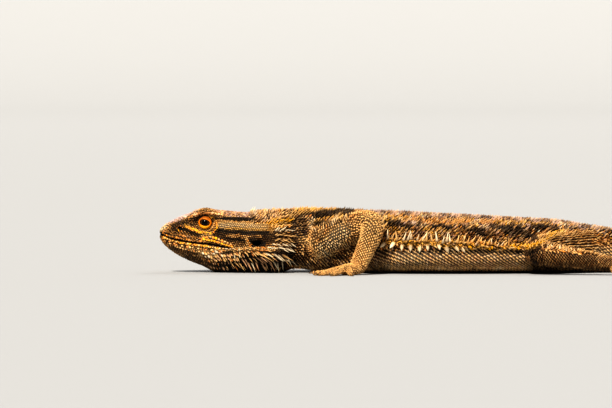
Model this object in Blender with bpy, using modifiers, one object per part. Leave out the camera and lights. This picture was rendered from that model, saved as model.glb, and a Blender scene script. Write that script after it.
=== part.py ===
"""Bearded dragon resting flat on its belly: a life-size still model, parted into named body pieces.

Run with: blender --background --python part.py
Units are metres. The snout points to -X, the left side is -Y, the floor is z = 0, and the origin is the
middle of the belly where it rests on the floor. Body lengths are measured from the tip of the snout.
"""

import math
from collections import namedtuple

import bmesh
import bpy
import numpy as np
from mathutils import Matrix, Vector
from mathutils.bvhtree import BVHTree

MM = 0.001

# Driving dimensions, in millimetres.
BELLY_AT = 130.0  # from the snout back to the origin
SNOUT_TO_VENT = 235.0
TAIL_LENGTH = 263.0
EYE_RADIUS = 4.5
SOCKET_GAP = 0.3
PART_GAP = 0.36  # width of the thin cuts between the pieces
BEND_REACH = 1.63  # the cut at a bent elbow or knee is a disc this much wider than the limb
TAIL_SWAY = 16.0  # how far the tail swings off the midline

# Fineness of the flesh before and after it is simplified.
VOXEL = 1.1
SOFTEN_ROUNDS = 7
FLESH_TRIANGLES = 4600
FOOT_TRIANGLES = 400
SHARP_ANGLE = 45.0  # edges sharper than this many degrees stay sharp in the shading
FLAT_ANGLE = 5.0  # faces that meet at less than this many degrees are merged where the cuts left slivers

Station = namedtuple("Station", "at half_width side_height top bottom upper lower")

# Sections of head, trunk and tail. upper and lower are the roundness powers: 2 is an ellipse, more is boxier.
STATIONS = [
    Station(0.0, 2.4, 19.2, 21.2, 17.0, 2.1, 2.1),
    Station(2.0, 4.9, 18.8, 23.2, 14.0, 2.2, 2.1),
    Station(8.0, 8.3, 18.2, 26.6, 9.3, 2.3, 2.1),
    Station(15.0, 11.0, 17.8, 29.4, 5.6, 2.5, 2.2),
    Station(22.0, 13.8, 17.0, 31.0, 3.0, 2.7, 2.4),
    Station(27.0, 15.9, 16.4, 31.0, 0.2, 2.8, 2.6),
    Station(34.0, 18.2, 15.6, 30.6, -0.9, 2.7, 2.8),
    Station(43.0, 20.6, 14.0, 29.8, -0.9, 2.6, 2.9),
    Station(51.0, 22.0, 13.0, 30.2, -0.9, 2.4, 2.9),
    Station(58.0, 21.2, 12.6, 30.8, -0.9, 2.3, 2.8),
    Station(64.0, 18.6, 13.2, 31.2, 0.8, 2.2, 2.5),
    Station(69.0, 17.4, 14.0, 31.8, 2.6, 2.1, 2.3),
    Station(76.0, 19.4, 13.0, 32.0, 0.6, 2.1, 2.4),
    Station(86.0, 23.8, 12.0, 32.0, -0.9, 2.1, 2.6),
    Station(100.0, 30.6, 11.2, 31.6, -0.9, 2.0, 2.8),
    Station(120.0, 37.2, 10.6, 30.4, -0.9, 1.95, 2.9),
    Station(140.0, 39.2, 10.2, 29.2, -0.9, 1.95, 2.9),
    Station(160.0, 37.6, 10.2, 28.0, -0.9, 1.95, 2.9),
    Station(180.0, 33.2, 10.4, 27.2, -0.9, 2.0, 2.8),
    Station(195.0, 27.4, 10.8, 26.2, -0.9, 2.1, 2.7),
    Station(210.0, 21.6, 11.0, 24.0, -0.9, 2.2, 2.5),
    Station(225.0, 17.2, 10.2, 21.8, -0.9, 2.2, 2.4),
    Station(SNOUT_TO_VENT + 5, 13.8, 9.0, 19.2, -0.9, 2.1, 2.3),
    Station(SNOUT_TO_VENT + 30, 10.4, 7.4, 15.8, -0.8, 2.0, 2.2),
    Station(SNOUT_TO_VENT + 65, 7.9, 5.8, 12.4, -0.8, 2.0, 2.2),
    Station(SNOUT_TO_VENT + 115, 5.5, 4.2, 8.9, -0.7, 2.0, 2.2),
    Station(SNOUT_TO_VENT + 165, 3.8, 3.0, 6.4, -0.6, 2.0, 2.2),
    Station(SNOUT_TO_VENT + 215, 2.5, 2.0, 4.3, -0.5, 2.0, 2.2),
    Station(SNOUT_TO_VENT + TAIL_LENGTH - 8, 1.5, 1.2, 2.6, -0.4, 2.0, 2.2),
    Station(SNOUT_TO_VENT + TAIL_LENGTH, 0.8, 0.9, 1.7, 0.1, 2.0, 2.0),
]
LOFT_STEP = 2.0
RING_POINTS = 56

# Eyes, ears and nostrils of the left side, as (from the snout, out from the midline, height).
EYE = (23.2, 9.3, 24.6)
EAR = (50.0, 22.0, 15.4)
EAR_RADII = (2.7, 1.6, 1.9)
NOSTRIL = (10.0, 8.2, 22.2)
NOSTRIL_RADIUS = 0.9

Limb = namedtuple("Limb", "name side joints radii root_cut lean")

# Each limb's joints run from inside the body to the wrist or ankle: (from the snout, off the midline, height).
# root_cut is the line of the cut that parts the limb from the trunk, seen from above at mid height: across the
# shoulder and then back along the flank, or straight past the hip. lean is how far it tips inwards per mm of rise.
LIMBS = [
    Limb("front_left", -1, [(80, -17, 15), (105.5, -38.5, 25), (99, -48.5, 4.6)], [8.6, 6.3, 4.2],
         [(83.5, -40.9), (93.5, -26.5), (109.5, -36.6)], 0.45),
    Limb("front_right", 1, [(80, 17, 15), (103, 39.5, 22.5), (91, 51, 4.6)], [8.6, 6.3, 4.2],
         [(82, 41), (92.3, 26.4), (108.5, 36.6)], 0.45),
    Limb("hind_left", -1, [(214, -11, 12.6), (187, -40.5, 11.2), (225, -52, 5.4)], [9.2, 6.6, 3.8],
         [(174, -38.4), (226, -19)], 0.0),
    Limb("hind_right", 1, [(214, 11, 12.6), (191, 41.5, 11.0), (229, 51, 5.4)], [9.2, 6.6, 3.8],
         [(176, 38.8), (229, 19)], 0.0),
]

Foot = namedtuple("Foot", "limb heading sole_length sole_width digits")

# Digits as (angle from the foot's heading towards the tail side, length). The heading is the compass angle of
# the foot: 0 points at the snout, 90 points straight out to its own side, 180 points at the tail.
HAND_DIGITS = [(-42, 10.5), (-18, 14.5), (4, 16.5), (27, 16.0), (62, 12.0)]
TOE_DIGITS = [(-44, 9.5), (-20, 14.5), (-3, 19.0), (12, 23.0), (46, 13.0)]
FEET = [
    Foot("front_left", 36, 9.0, 9.4, HAND_DIGITS),
    Foot("front_right", 24, 9.0, 9.4, HAND_DIGITS),
    Foot("hind_left", 122, 12.0, 9.2, TOE_DIGITS),
    Foot("hind_right", 112, 12.0, 9.2, TOE_DIGITS),
]
DIGIT_RADIUS = 1.45
CLAW_LENGTH = 3.4
CLAW_TIP_RADIUS = 0.3

# Colours as (red, green, blue, roughness).
LOOKS = {
    "back": (0.52, 0.33, 0.17, 0.8),
    "head": (0.56, 0.38, 0.22, 0.75),
    "beard": (0.30, 0.20, 0.12, 0.8),
    "limb": (0.60, 0.38, 0.18, 0.8),
    "tail": (0.46, 0.30, 0.17, 0.8),
    "eye": (0.70, 0.28, 0.03, 0.2),
}


def place(at, off, height):
    """A point given by its distance from the snout, its offset and its height in mm, in metres."""
    return Vector((at - BELLY_AT, off, height)) * MM


def clear_scene():
    for obj in list(bpy.data.objects):
        bpy.data.objects.remove(obj)


def tail_offset(at):
    """How far the midline swings sideways at this distance from the snout: none before the vent, then one S."""
    share = max(0.0, (at - SNOUT_TO_VENT) / TAIL_LENGTH)
    return TAIL_SWAY * math.sin(1.45 * math.pi * share) * min(1.0, 2.2 * share)


def eased(stations, at):
    """Every measure of the stations at this distance, on a curve that doesn't overshoot between them."""
    xs = np.array([s.at for s in stations])
    rows = np.array([s[1:] for s in stations])
    slopes = np.diff(rows, axis=0) / np.diff(xs)[:, None]
    flat = slopes[:-1] * slopes[1:] <= 0
    with np.errstate(divide="ignore", invalid="ignore"):
        inner = np.where(flat, 0, 2 * slopes[:-1] * slopes[1:] / (slopes[:-1] + slopes[1:]))
    tangents = np.vstack([slopes[:1], inner, slopes[-1:]])
    i = int(np.clip(np.searchsorted(xs, at) - 1, 0, len(xs) - 2))
    width = xs[i + 1] - xs[i]
    t = (at - xs[i]) / width
    return (
        (2 * t**3 - 3 * t**2 + 1) * rows[i]
        + (t**3 - 2 * t**2 + t) * width * tangents[i]
        + (3 * t**2 - 2 * t**3) * rows[i + 1]
        + (t**3 - t**2) * width * tangents[i + 1]
    )


def rounded(value, power):
    return math.copysign(abs(value) ** (2 / power), value)


def section(at):
    """The ring of points round the body at this distance from the snout."""
    half_width, side, top, bottom, upper, lower = eased(STATIONS, at)
    ring = []
    for k in range(RING_POINTS):
        turn = 2 * math.pi * k / RING_POINTS
        across, up = math.sin(turn), math.cos(turn)
        power = upper if up >= 0 else lower
        reach = (top - side) if up >= 0 else (side - bottom)
        ring.append(
            place(at, tail_offset(at) + half_width * rounded(across, power), side + reach * rounded(up, power))
        )
    return ring


def body_loft():
    """Head, trunk and tail in one closed form, lofted through the stations."""
    bm = bmesh.new()
    end = SNOUT_TO_VENT + TAIL_LENGTH
    rings = []
    for at in np.linspace(0, end, int(end / LOFT_STEP)):
        rings.append([bm.verts.new(p) for p in section(float(at))])
    for fore, aft in zip(rings, rings[1:]):
        for k in range(RING_POINTS):
            n = (k + 1) % RING_POINTS
            bm.faces.new((fore[k], fore[n], aft[n], aft[k]))
    bm.faces.new(rings[0][::-1])
    bm.faces.new(rings[-1])
    bmesh.ops.recalc_face_normals(bm, faces=bm.faces)
    return as_mesh("body", bm)


def as_mesh(name, bm):
    mesh = bpy.data.meshes.new(name)
    bm.to_mesh(mesh)
    bm.free()
    return mesh


def smooth_route(points, radii, steps):
    """Points and radii on a smooth curve through the given ones, so that a bent limb has no corner."""
    knots = [Vector(p) for p in points]
    ends = [2 * knots[0] - knots[1], *knots, 2 * knots[-1] - knots[-2]]
    sizes = [radii[0], *radii, radii[-1]]
    route = []
    for i in range(1, len(ends) - 2):
        for step in range(steps + (i == len(ends) - 3)):
            t = step / steps
            weights = (
                0.5 * (-t + 2 * t**2 - t**3),
                0.5 * (2 - 5 * t**2 + 3 * t**3),
                0.5 * (t + 4 * t**2 - 3 * t**3),
                0.5 * (t**3 - t**2),
            )
            spot = sum((w * p for w, p in zip(weights, ends[i - 1 : i + 3])), Vector((0, 0, 0)))
            route.append((spot, sum(w * r for w, r in zip(weights, sizes[i - 1 : i + 3]))))
    return route


def tube(name, route, sides=3):
    """A closed tube along the route, which holds (point, radius) pairs in metres, as a mesh."""
    curve = bpy.data.curves.new(name, "CURVE")
    curve.dimensions = "3D"
    curve.bevel_depth = 1.0
    curve.bevel_resolution = sides
    curve.use_fill_caps = True
    spline = curve.splines.new("POLY")
    spline.points.add(len(route) - 1)
    for point, (spot, radius) in zip(spline.points, route):
        point.co = (*spot, 1)
        point.radius = radius
    obj = bpy.data.objects.new(name, curve)
    bpy.context.scene.collection.objects.link(obj)
    bpy.context.view_layer.update()
    mesh = bpy.data.meshes.new_from_object(obj.evaluated_get(bpy.context.evaluated_depsgraph_get()))
    bpy.data.objects.remove(obj)
    bm = bmesh.new()
    bm.from_mesh(mesh)
    bmesh.ops.remove_doubles(bm, verts=bm.verts, dist=0.00001)
    bmesh.ops.recalc_face_normals(bm, faces=bm.faces)
    return as_mesh(name, bm)


def limb_tube(limb):
    points = [place(*joint) for joint in limb.joints]
    route = smooth_route(points, [r * MM for r in limb.radii], 8)
    return tube(limb.name, route, 5)


def bulk_tube(name, points, radii):
    """A ridge or muscle on both sides of the body, from points of the left side in mm."""
    made = []
    for side in (-1, 1):
        route = smooth_route([place(a, side * o, h) for a, o, h in points], [r * MM for r in radii], 6)
        made.append(tube(name, route, 3))
    return made


def ellipsoid(centre, radii, segments=24, rings=16):
    bm = bmesh.new()
    bmesh.ops.create_uvsphere(bm, u_segments=segments, v_segments=rings, radius=1.0)
    bmesh.ops.transform(bm, verts=bm.verts, matrix=Matrix.Diagonal([r * MM for r in radii]).to_4x4())
    bmesh.ops.translate(bm, verts=bm.verts, vec=centre)
    return as_mesh("ellipsoid", bm)


def joined(name, meshes):
    bm = bmesh.new()
    for mesh in meshes:
        bm.from_mesh(mesh)
    obj = bpy.data.objects.new(name, as_mesh(name, bm))
    bpy.context.scene.collection.objects.link(obj)
    return obj


def applied(obj):
    """Bakes the object's modifiers into its mesh."""
    bpy.context.view_layer.update()
    mesh = bpy.data.meshes.new_from_object(obj.evaluated_get(bpy.context.evaluated_depsgraph_get()))
    obj.modifiers.clear()
    obj.data = mesh
    return obj


def fused(obj, voxel, rounds, triangles):
    """One skin round overlapping forms, softened where they meet and simplified to about so many triangles."""
    remesh = obj.modifiers.new("fuse", "REMESH")
    remesh.mode = "VOXEL"
    remesh.voxel_size = voxel * MM
    soften = obj.modifiers.new("soften", "SMOOTH")
    soften.factor = 0.5
    soften.iterations = rounds
    applied(obj)
    simplify = obj.modifiers.new("simplify", "DECIMATE")
    simplify.ratio = triangles / (2 * len(obj.data.polygons))
    simplify.use_collapse_triangulate = True
    return applied(obj)


def flesh():
    """Head, trunk, tail and limbs to the wrists and ankles, in one piece."""
    meshes = [body_loft(), *[limb_tube(limb) for limb in LIMBS]]
    meshes += bulk_tube("brow", [(14.5, 8.6, 26.8), (19.5, 10.6, 29.2), (25.5, 11.8, 29.4), (32, 13, 26.6)],
                        [1.6, 2.4, 2.4, 1.6])
    meshes += bulk_tube("jaw_muscle", [(36, 14.5, 19), (46, 17.6, 18), (55, 17.2, 17.5)], [3.4, 5.2, 4.2])
    meshes += bulk_tube("beard_edge", [(40, 19.6, 10.4), (50, 22.2, 10), (58, 21.8, 9.6), (63, 19.4, 9.6)],
                        [1.6, 2.4, 2.6, 1.6])
    meshes += bulk_tube("side_fringe", [(104, 30.6, 16), (120, 36.4, 15.4), (140, 38.6, 14.8), (160, 37, 14.4),
                                        (184, 31, 13.8)], [1.0, 2.0, 2.2, 2.0, 1.0])
    return fused(joined("flesh", meshes), VOXEL, SOFTEN_ROUNDS, FLESH_TRIANGLES)


def compass(side, degrees):
    """The level direction at this angle from the snout towards the limb's own side."""
    turn = math.radians(degrees)
    return Vector((-math.cos(turn), side * math.sin(turn), 0))


def digit(start, direction, length):
    """One toe with its claw: knuckles that rise and fall, then a claw that curves down to the floor."""
    end = start + direction * length * MM
    r = DIGIT_RADIUS
    rise = Vector((0, 0, 1)) * MM
    low = Vector((1, 1, 0))
    ground = Vector((end.x, end.y, 0))
    route = [
        (start, 1.35 * r * MM),
        (start.lerp(end, 0.3) * low + rise * (r + 1.0), 1.1 * r * MM),
        (start.lerp(end, 0.55) * low + rise * (r + 0.2), 0.95 * r * MM),
        (start.lerp(end, 0.8) * low + rise * (r - 0.35), 0.98 * r * MM),
        (ground + rise * (r - 0.45), 0.78 * r * MM),
        (ground + direction * 0.34 * CLAW_LENGTH * MM + rise * 1.75, 0.78 * MM),
        (ground + direction * 0.72 * CLAW_LENGTH * MM + rise * 1.15, 0.55 * MM),
        (ground + direction * CLAW_LENGTH * MM + rise * 0.35, CLAW_TIP_RADIUS * MM),
    ]
    return tube("digit", route, 2)


def foot_mesh(foot):
    """Palm or sole, wrist or ankle, and five digits with claws, fused into one form."""
    limb = next(x for x in LIMBS if x.name == foot.limb)
    root = place(*limb.joints[-1])
    ahead = compass(limb.side, foot.heading)
    sole = root + ahead * 0.62 * foot.sole_length * MM
    sole.z = 2.7 * MM
    knuckles = root + ahead * foot.sole_length * MM
    knuckles.z = 2.5 * MM
    across = compass(limb.side, foot.heading + 90)
    pad = bpy.data.meshes.new_from_object(joined("pad", [ellipsoid((0, 0, 0), (
        0.78 * foot.sole_length, 0.5 * foot.sole_width, 2.9))]))
    turn = Matrix((ahead, across, (0, 0, 1))).transposed().to_4x4()
    pad.transform(Matrix.Translation(sole) @ turn)
    bpy.data.objects.remove(bpy.data.objects["pad"])
    wrist = tube("wrist", [(root, 0.8 * limb.radii[-1] * MM), (sole, 2.6 * MM)], 3)
    knob = ellipsoid(root, [limb.radii[-1]] * 3)
    toes = []
    for angle, length in foot.digits:
        spread = math.sin(math.radians(angle)) * 0.40 * foot.sole_width * MM
        toes.append(digit(knuckles + across * spread, compass(limb.side, foot.heading + angle), length))
    return fused(joined("foot", [pad, wrist, knob, *toes]), 0.5, 2, FOOT_TRIANGLES)


def boolean(obj, other, operation):
    step = obj.modifiers.new(operation.lower(), "BOOLEAN")
    step.operation = operation
    step.object = other
    applied(obj)
    bpy.data.objects.remove(other)
    return obj


def disc(centre, normal, radius):
    """A thin disc centred on a point and facing along normal, which parts one piece from the next."""
    bm = bmesh.new()
    bmesh.ops.create_cone(
        bm, cap_ends=True, segments=24, radius1=radius * MM, radius2=radius * MM, depth=PART_GAP * MM
    )
    matrix = Vector(normal).to_track_quat("Z", "Y").to_matrix().to_4x4()
    bmesh.ops.transform(bm, verts=bm.verts, matrix=Matrix.Translation(centre) @ matrix)
    return as_mesh("disc", bm)


def folded_sheet(one_row, other_row):
    """A thin folded sheet between two rows of points, given in mm from the snout, off the midline and high."""
    bm = bmesh.new()
    rows = [[bm.verts.new(place(*spot)) for spot in row] for row in (one_row, other_row)]
    for k in range(len(one_row) - 1):
        bm.faces.new((rows[0][k], rows[0][k + 1], rows[1][k + 1], rows[1][k]))
    obj = bpy.data.objects.new("sheet", as_mesh("sheet", bm))
    bpy.context.scene.collection.objects.link(obj)
    wall = obj.modifiers.new("wall", "SOLIDIFY")
    wall.thickness = PART_GAP * MM
    wall.offset = 0.0
    mesh = applied(obj).data
    bpy.data.objects.remove(obj)
    return mesh


MOUTH_PROFILE = [(-3, 19.4), (3, 17.9), (12, 16.0), (24, 14.0), (36, 12.4), (46, 12.0), (62.2, 13.5)]
BEARD_PROFILE = [(20, -3), (25, 2.2), (34, 5.6), (46, 8.2), (51.4, 12.5)]
NECK_CUTS = [(62, 0.12), (74.5, 0.0)]  # (from the snout, lean of the cut)
TAIL_CUTS = [SNOUT_TO_VENT + 3, SNOUT_TO_VENT + 70, SNOUT_TO_VENT + 150]


def head_sheets():
    """The mouth line carried back to the nape cut, and the line between the lower jaw and the beard."""
    sheets = []
    for profile in (MOUTH_PROFILE, BEARD_PROFILE):
        sheets.append(folded_sheet(*[[(at, off, height) for at, height in profile] for off in (-30, 30)]))
    return sheets


def body_discs():
    """The cuts across neck and tail."""
    discs = [disc(place(at, 0, 15), (1, 0, lean), 33) for at, lean in NECK_CUTS]
    for at in TAIL_CUTS:
        swing = (tail_offset(at + 1) - tail_offset(at - 1)) / 2
        discs.append(disc(place(at, tail_offset(at), 8), (1, swing, 0), 21 if at < 240 else 15))
    return discs


def limb_sheets(limb):
    """The cuts at shoulder or hip, at elbow or knee and at wrist or ankle."""
    rows = []
    for height in (-3, 37):
        shift = -limb.side * limb.lean * (height - 17)
        rows.append([(at, off + shift, height) for at, off in limb.root_cut])
    joints = [place(*joint) for joint in limb.joints]
    upper = (joints[1] - joints[0]).normalized()
    lower = (joints[2] - joints[1]).normalized()
    return [
        folded_sheet(*rows),
        disc(joints[1] + (lower + upper) * 0.2 * MM, upper + lower, BEND_REACH * limb.radii[1]),
        disc(joints[2] - lower * 2.0 * MM, lower, 7.0),
    ]


# A point inside each finished piece, by which the loose pieces get their names: (from the snout, off, height).
def landmarks():
    spots = {
        "head": (40, 0, 22),
        "lower_jaw": (20, 0, 10),
        "beard": (45, 0, 4),
        "neck": (70, 0, 16),
        "trunk": (140, 0, 14),
    }
    edges = [*TAIL_CUTS, SNOUT_TO_VENT + TAIL_LENGTH]
    for name, fore, aft in zip(("tail_base", "tail_middle", "tail_rear"), edges, edges[1:]):
        at = (fore + aft) / 2
        spots[name] = (at, tail_offset(at), 3)
    for limb in LIMBS:
        front = limb.name.startswith("front")
        names = ("upper_arm", "forearm", "hand") if front else ("thigh", "shin", "foot")
        side = limb.name.split("_")[1]
        a, b, c = (Vector(joint) for joint in limb.joints)
        foot = next(f for f in FEET if f.limb == limb.name)
        tip = c + compass(limb.side, foot.heading) * foot.sole_length
        tip.z = 2.0
        for name, spot in zip(names, (a.lerp(b, 0.72), b.lerp(c, 0.5), tip)):
            spots[f"{name}_{side}"] = tuple(spot)
    return spots


def simplified(bm):
    """Merges faces that lie almost in one plane, such as the slivers beside a cut, and splits them anew."""
    bmesh.ops.dissolve_limit(bm, angle_limit=math.radians(FLAT_ANGLE), verts=bm.verts, edges=bm.edges)
    bmesh.ops.triangulate(bm, faces=bm.faces)
    return bm


def parted(whole, cutters):
    """Cuts the whole by the sheets and returns its loose pieces as meshes with their volumes."""
    boolean(whole, joined("cutters", cutters), "DIFFERENCE")
    bm = bmesh.new()
    bm.from_mesh(whole.data)
    left = set(bm.verts)
    groups = []
    while left:
        group, edge = set(), [left.pop()]
        while edge:
            vert = edge.pop()
            group.add(vert.index)
            for link in vert.link_edges:
                other = link.other_vert(vert)
                if other in left:
                    left.remove(other)
                    edge.append(other)
        groups.append(group)
    bm.free()
    pieces = []
    for group in groups:
        bm = bmesh.new()
        bm.from_mesh(whole.data)
        bmesh.ops.delete(bm, geom=[v for v in bm.verts if v.index not in group], context="VERTS")
        volume = bm.calc_volume()
        pieces.append((volume, as_mesh("piece", simplified(bm))))
    bpy.data.objects.remove(whole)
    return pieces


def holds(mesh, spot):
    """Whether a point lies inside the mesh: a ray from it crosses the surface an odd number of times."""
    tree = BVHTree.FromPolygons([v.co for v in mesh.vertices], [p.vertices for p in mesh.polygons])
    way = Vector((0.013, 0.017, 1)).normalized()
    crossings = 0
    hit = tree.ray_cast(spot, way)[0]
    while hit and crossings < 50:
        crossings += 1
        hit = tree.ray_cast(hit + way * 1e-7, way)[0]
    return crossings % 2 == 1


def named_pieces(pieces):
    """Gives each loose piece the name of the landmark that lies inside it."""
    found = {}
    for name, spot in landmarks().items():
        holding = [mesh for volume, mesh in pieces if holds(mesh, place(*spot))]
        if len(holding) != 1 or holding[0] in found.values():
            raise ValueError(f"{name} isn't parted from its neighbour")
        found[name] = holding[0]
    crumbs = [volume for volume, mesh in pieces if mesh not in found.values()]
    print(len(found), "pieces, crumbs left out in cubic mm:", [round(v / MM**3, 2) for v in crumbs])
    return found


def look_of(name):
    for key, words in {
        "eye": ("eye",),
        "beard": ("beard", "lower_jaw"),
        "head": ("head",),
        "tail": ("tail",),
        "limb": ("arm", "hand", "thigh", "shin", "foot"),
    }.items():
        if any(word in name for word in words):
            return key
    return "back"


def material(key):
    found = bpy.data.materials.get(key)
    if found:
        return found
    red, green, blue, rough = LOOKS[key]
    made = bpy.data.materials.new(key)
    made.use_nodes = True
    shader = made.node_tree.nodes["Principled BSDF"]
    shader.inputs["Base Color"].default_value = (red, green, blue, 1)
    shader.inputs["Roughness"].default_value = rough
    shader.inputs["Metallic"].default_value = 0.0
    return made


def add_node(collection, name, mesh):
    mesh.name = name
    mesh.materials.clear()
    mesh.materials.append(material(look_of(name)))
    mesh.shade_smooth()
    mesh.set_sharp_from_angle(angle=math.radians(SHARP_ANGLE))
    obj = bpy.data.objects.new(name, mesh)
    collection.objects.link(obj)
    return obj


def head_hollows():
    """Eye sockets, ear pits and nostrils, on both sides."""
    hollows = []
    for side in (-1, 1):
        hollows.append(ellipsoid(place(EYE[0], side * EYE[1], EYE[2]), [EYE_RADIUS + SOCKET_GAP] * 3, 16, 10))
        hollows.append(ellipsoid(place(EAR[0], side * EAR[1], EAR[2]), EAR_RADII, 10, 6))
        hollows.append(ellipsoid(place(NOSTRIL[0], side * NOSTRIL[1], NOSTRIL[2]), [NOSTRIL_RADIUS] * 3, 8, 6))
    return hollows


def floor_block():
    bm = bmesh.new()
    bmesh.ops.create_cube(bm, size=1.0)
    bmesh.ops.translate(bm, verts=bm.verts, vec=(0.1, 0, -0.5))
    return joined("floor_block", [as_mesh("floor_block", bm)])


def main():
    clear_scene()
    whole = flesh()
    for foot in FEET:
        boolean(whole, foot_mesh(foot), "UNION")
    boolean(whole, floor_block(), "DIFFERENCE")
    boolean(whole, joined("hollows", head_hollows()), "DIFFERENCE")
    cutters = head_sheets() + body_discs()
    for limb in LIMBS:
        cutters += limb_sheets(limb)
    for cutter in cutters[:-1]:
        boolean(whole, joined("cutter", [cutter]), "DIFFERENCE")
    pieces = named_pieces(parted(whole, cutters[-1:]))
    collection = bpy.data.collections.new("bearded_dragon")
    bpy.context.scene.collection.children.link(collection)
    for name, mesh in pieces.items():
        add_node(collection, name, mesh)
    for side, word in ((-1, "left"), (1, "right")):
        centre = place(EYE[0], side * EYE[1], EYE[2])
        add_node(collection, f"eye_{word}", ellipsoid(centre, [EYE_RADIUS] * 3, 16, 10))


main()
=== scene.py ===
# %% [markdown]
# # A bearded dragon at rest
# The solids of a life-size bearded dragon come first: they fix its size and its pose. This lesson dresses
# them. One skin grows over all the flesh, eyes sit in its sockets, and thousands of scales and spines lie
# on it in rows. Lengths are in millimetres from the tip of the snout, because that is how a lizard is
# measured.

# %% Load the frame
import math

import bmesh
import bpy
import numpy as np
from mathutils import Matrix, Vector
from mathutils.bvhtree import BVHTree
from mathutils.kdtree import KDTree


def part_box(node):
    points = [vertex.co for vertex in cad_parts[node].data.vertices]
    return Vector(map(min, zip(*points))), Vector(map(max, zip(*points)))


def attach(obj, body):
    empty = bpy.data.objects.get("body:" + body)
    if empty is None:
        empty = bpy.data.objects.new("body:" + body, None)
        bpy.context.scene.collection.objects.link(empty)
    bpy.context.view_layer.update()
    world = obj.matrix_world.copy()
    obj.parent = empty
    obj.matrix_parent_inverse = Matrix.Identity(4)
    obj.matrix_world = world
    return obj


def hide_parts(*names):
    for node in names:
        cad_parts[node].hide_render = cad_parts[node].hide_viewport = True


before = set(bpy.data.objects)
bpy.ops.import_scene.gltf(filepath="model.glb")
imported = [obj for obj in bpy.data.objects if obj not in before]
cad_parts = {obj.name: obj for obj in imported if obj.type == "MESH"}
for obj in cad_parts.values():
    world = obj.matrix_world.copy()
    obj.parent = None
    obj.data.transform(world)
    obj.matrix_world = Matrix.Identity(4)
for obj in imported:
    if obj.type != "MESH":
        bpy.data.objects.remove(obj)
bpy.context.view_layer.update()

MM = 0.001
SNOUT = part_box("head")[0][0]
FLESH = sorted(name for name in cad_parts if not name.startswith("eye"))
print(len(FLESH), "pieces of flesh, snout at", round(SNOUT, 4))


def metres(points):
    """Points given as (from the snout, off the midline, height) in mm, in the frame's metres."""
    return np.asarray(points, float) * MM + np.array([SNOUT, 0.0, 0.0])


def millimetres(points):
    return (np.asarray(points, float) - np.array([SNOUT, 0.0, 0.0])) / MM

# %% [markdown]
# ## Camera, floor and lights
# A long lens near the ground shows the animal as another lizard would see it, with hardly any perspective.
# A lamp high in front and a weak one behind light the scales, whose bright tips and dark roots are also
# painted light and shade. A round studio wall with no corner keeps the ground plain from every side.

# %% Camera
VIEW_CENTRE = (72.9, 0.0, 34.0)
VIEW_WIDTH = 306.0
VIEW_RISE = math.radians(1.15)
LENS, SENSOR = 400.0, 36.0
target = Vector(metres(VIEW_CENTRE))
reach = VIEW_WIDTH * MM * LENS / SENSOR
lens_data = bpy.data.cameras.new("long_lens")
lens_data.lens, lens_data.sensor_width, lens_data.clip_end = LENS, SENSOR, 100.0
camera = bpy.data.objects.new("long_lens", lens_data)
camera.location = target + Vector((0, -math.cos(VIEW_RISE), math.sin(VIEW_RISE))) * reach
camera.rotation_euler = (target - camera.location).to_track_quat("-Z", "Y").to_euler()
bpy.context.scene.collection.objects.link(camera)
bpy.context.scene.camera = camera
print("camera", round(reach, 2), "m away")

# %% Lamps and sky


def lamp(name, away, softness, strength, tint):
    """A far lamp. away is the direction it hangs in, and softness the angle it fills, in degrees."""
    data = bpy.data.lights.new(name, "SUN")
    data.angle, data.energy, data.color = math.radians(softness), strength, tint
    obj = bpy.data.objects.new(name, data)
    obj.rotation_euler = Vector(away).to_track_quat("Z", "Y").to_euler()
    bpy.context.scene.collection.objects.link(obj)


lamp("overhead", (-0.3, -0.92, 1.0), 8, 4.8, (1.0, 0.90, 0.76))
lamp("behind", (0.5, 0.9, 0.8), 30, 0.55, (1.0, 0.95, 0.88))
world = bpy.data.worlds.new("studio")
world.use_nodes = True
sky = world.node_tree.nodes["Background"].inputs
sky["Color"].default_value = (0.86, 0.84, 0.81, 1)
sky["Strength"].default_value = 0.40
bpy.context.scene.world = world
bpy.context.scene.view_settings.view_transform = "Standard"
bpy.context.scene.view_settings.look = "High Contrast"
print("sky at", round(sky["Strength"].default_value, 2))

# %% [markdown]
# ## Shader maths in Python
# Node trees are long to write by hand. A small class wraps an output socket, so that an expression such as
# `tone * 0.3 + 0.7` adds the Math nodes itself. Colours go through Mix nodes: Math nodes make them grey.

# %% A small class for shader maths


class Sock:
    """A node's output socket that Python can add to and multiply."""

    def __init__(self, paint, socket):
        self.paint, self.socket = paint, socket

    def math(self, operation, other):
        return self.paint.node("ShaderNodeMath", dict(operation=operation), {0: self, 1: other})

    def __add__(self, other):
        return self.math("ADD", other)

    def __mul__(self, other):
        return self.math("MULTIPLY", other)

    __radd__, __rmul__ = __add__, __mul__

    def step(self, low, high):
        """0 below low and 1 above high, with a soft change between."""
        values = {"Value": self, "From Min": low, "From Max": high}
        return self.paint.node("ShaderNodeMapRange", dict(interpolation_type="SMOOTHSTEP"), values, "Result")


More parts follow.
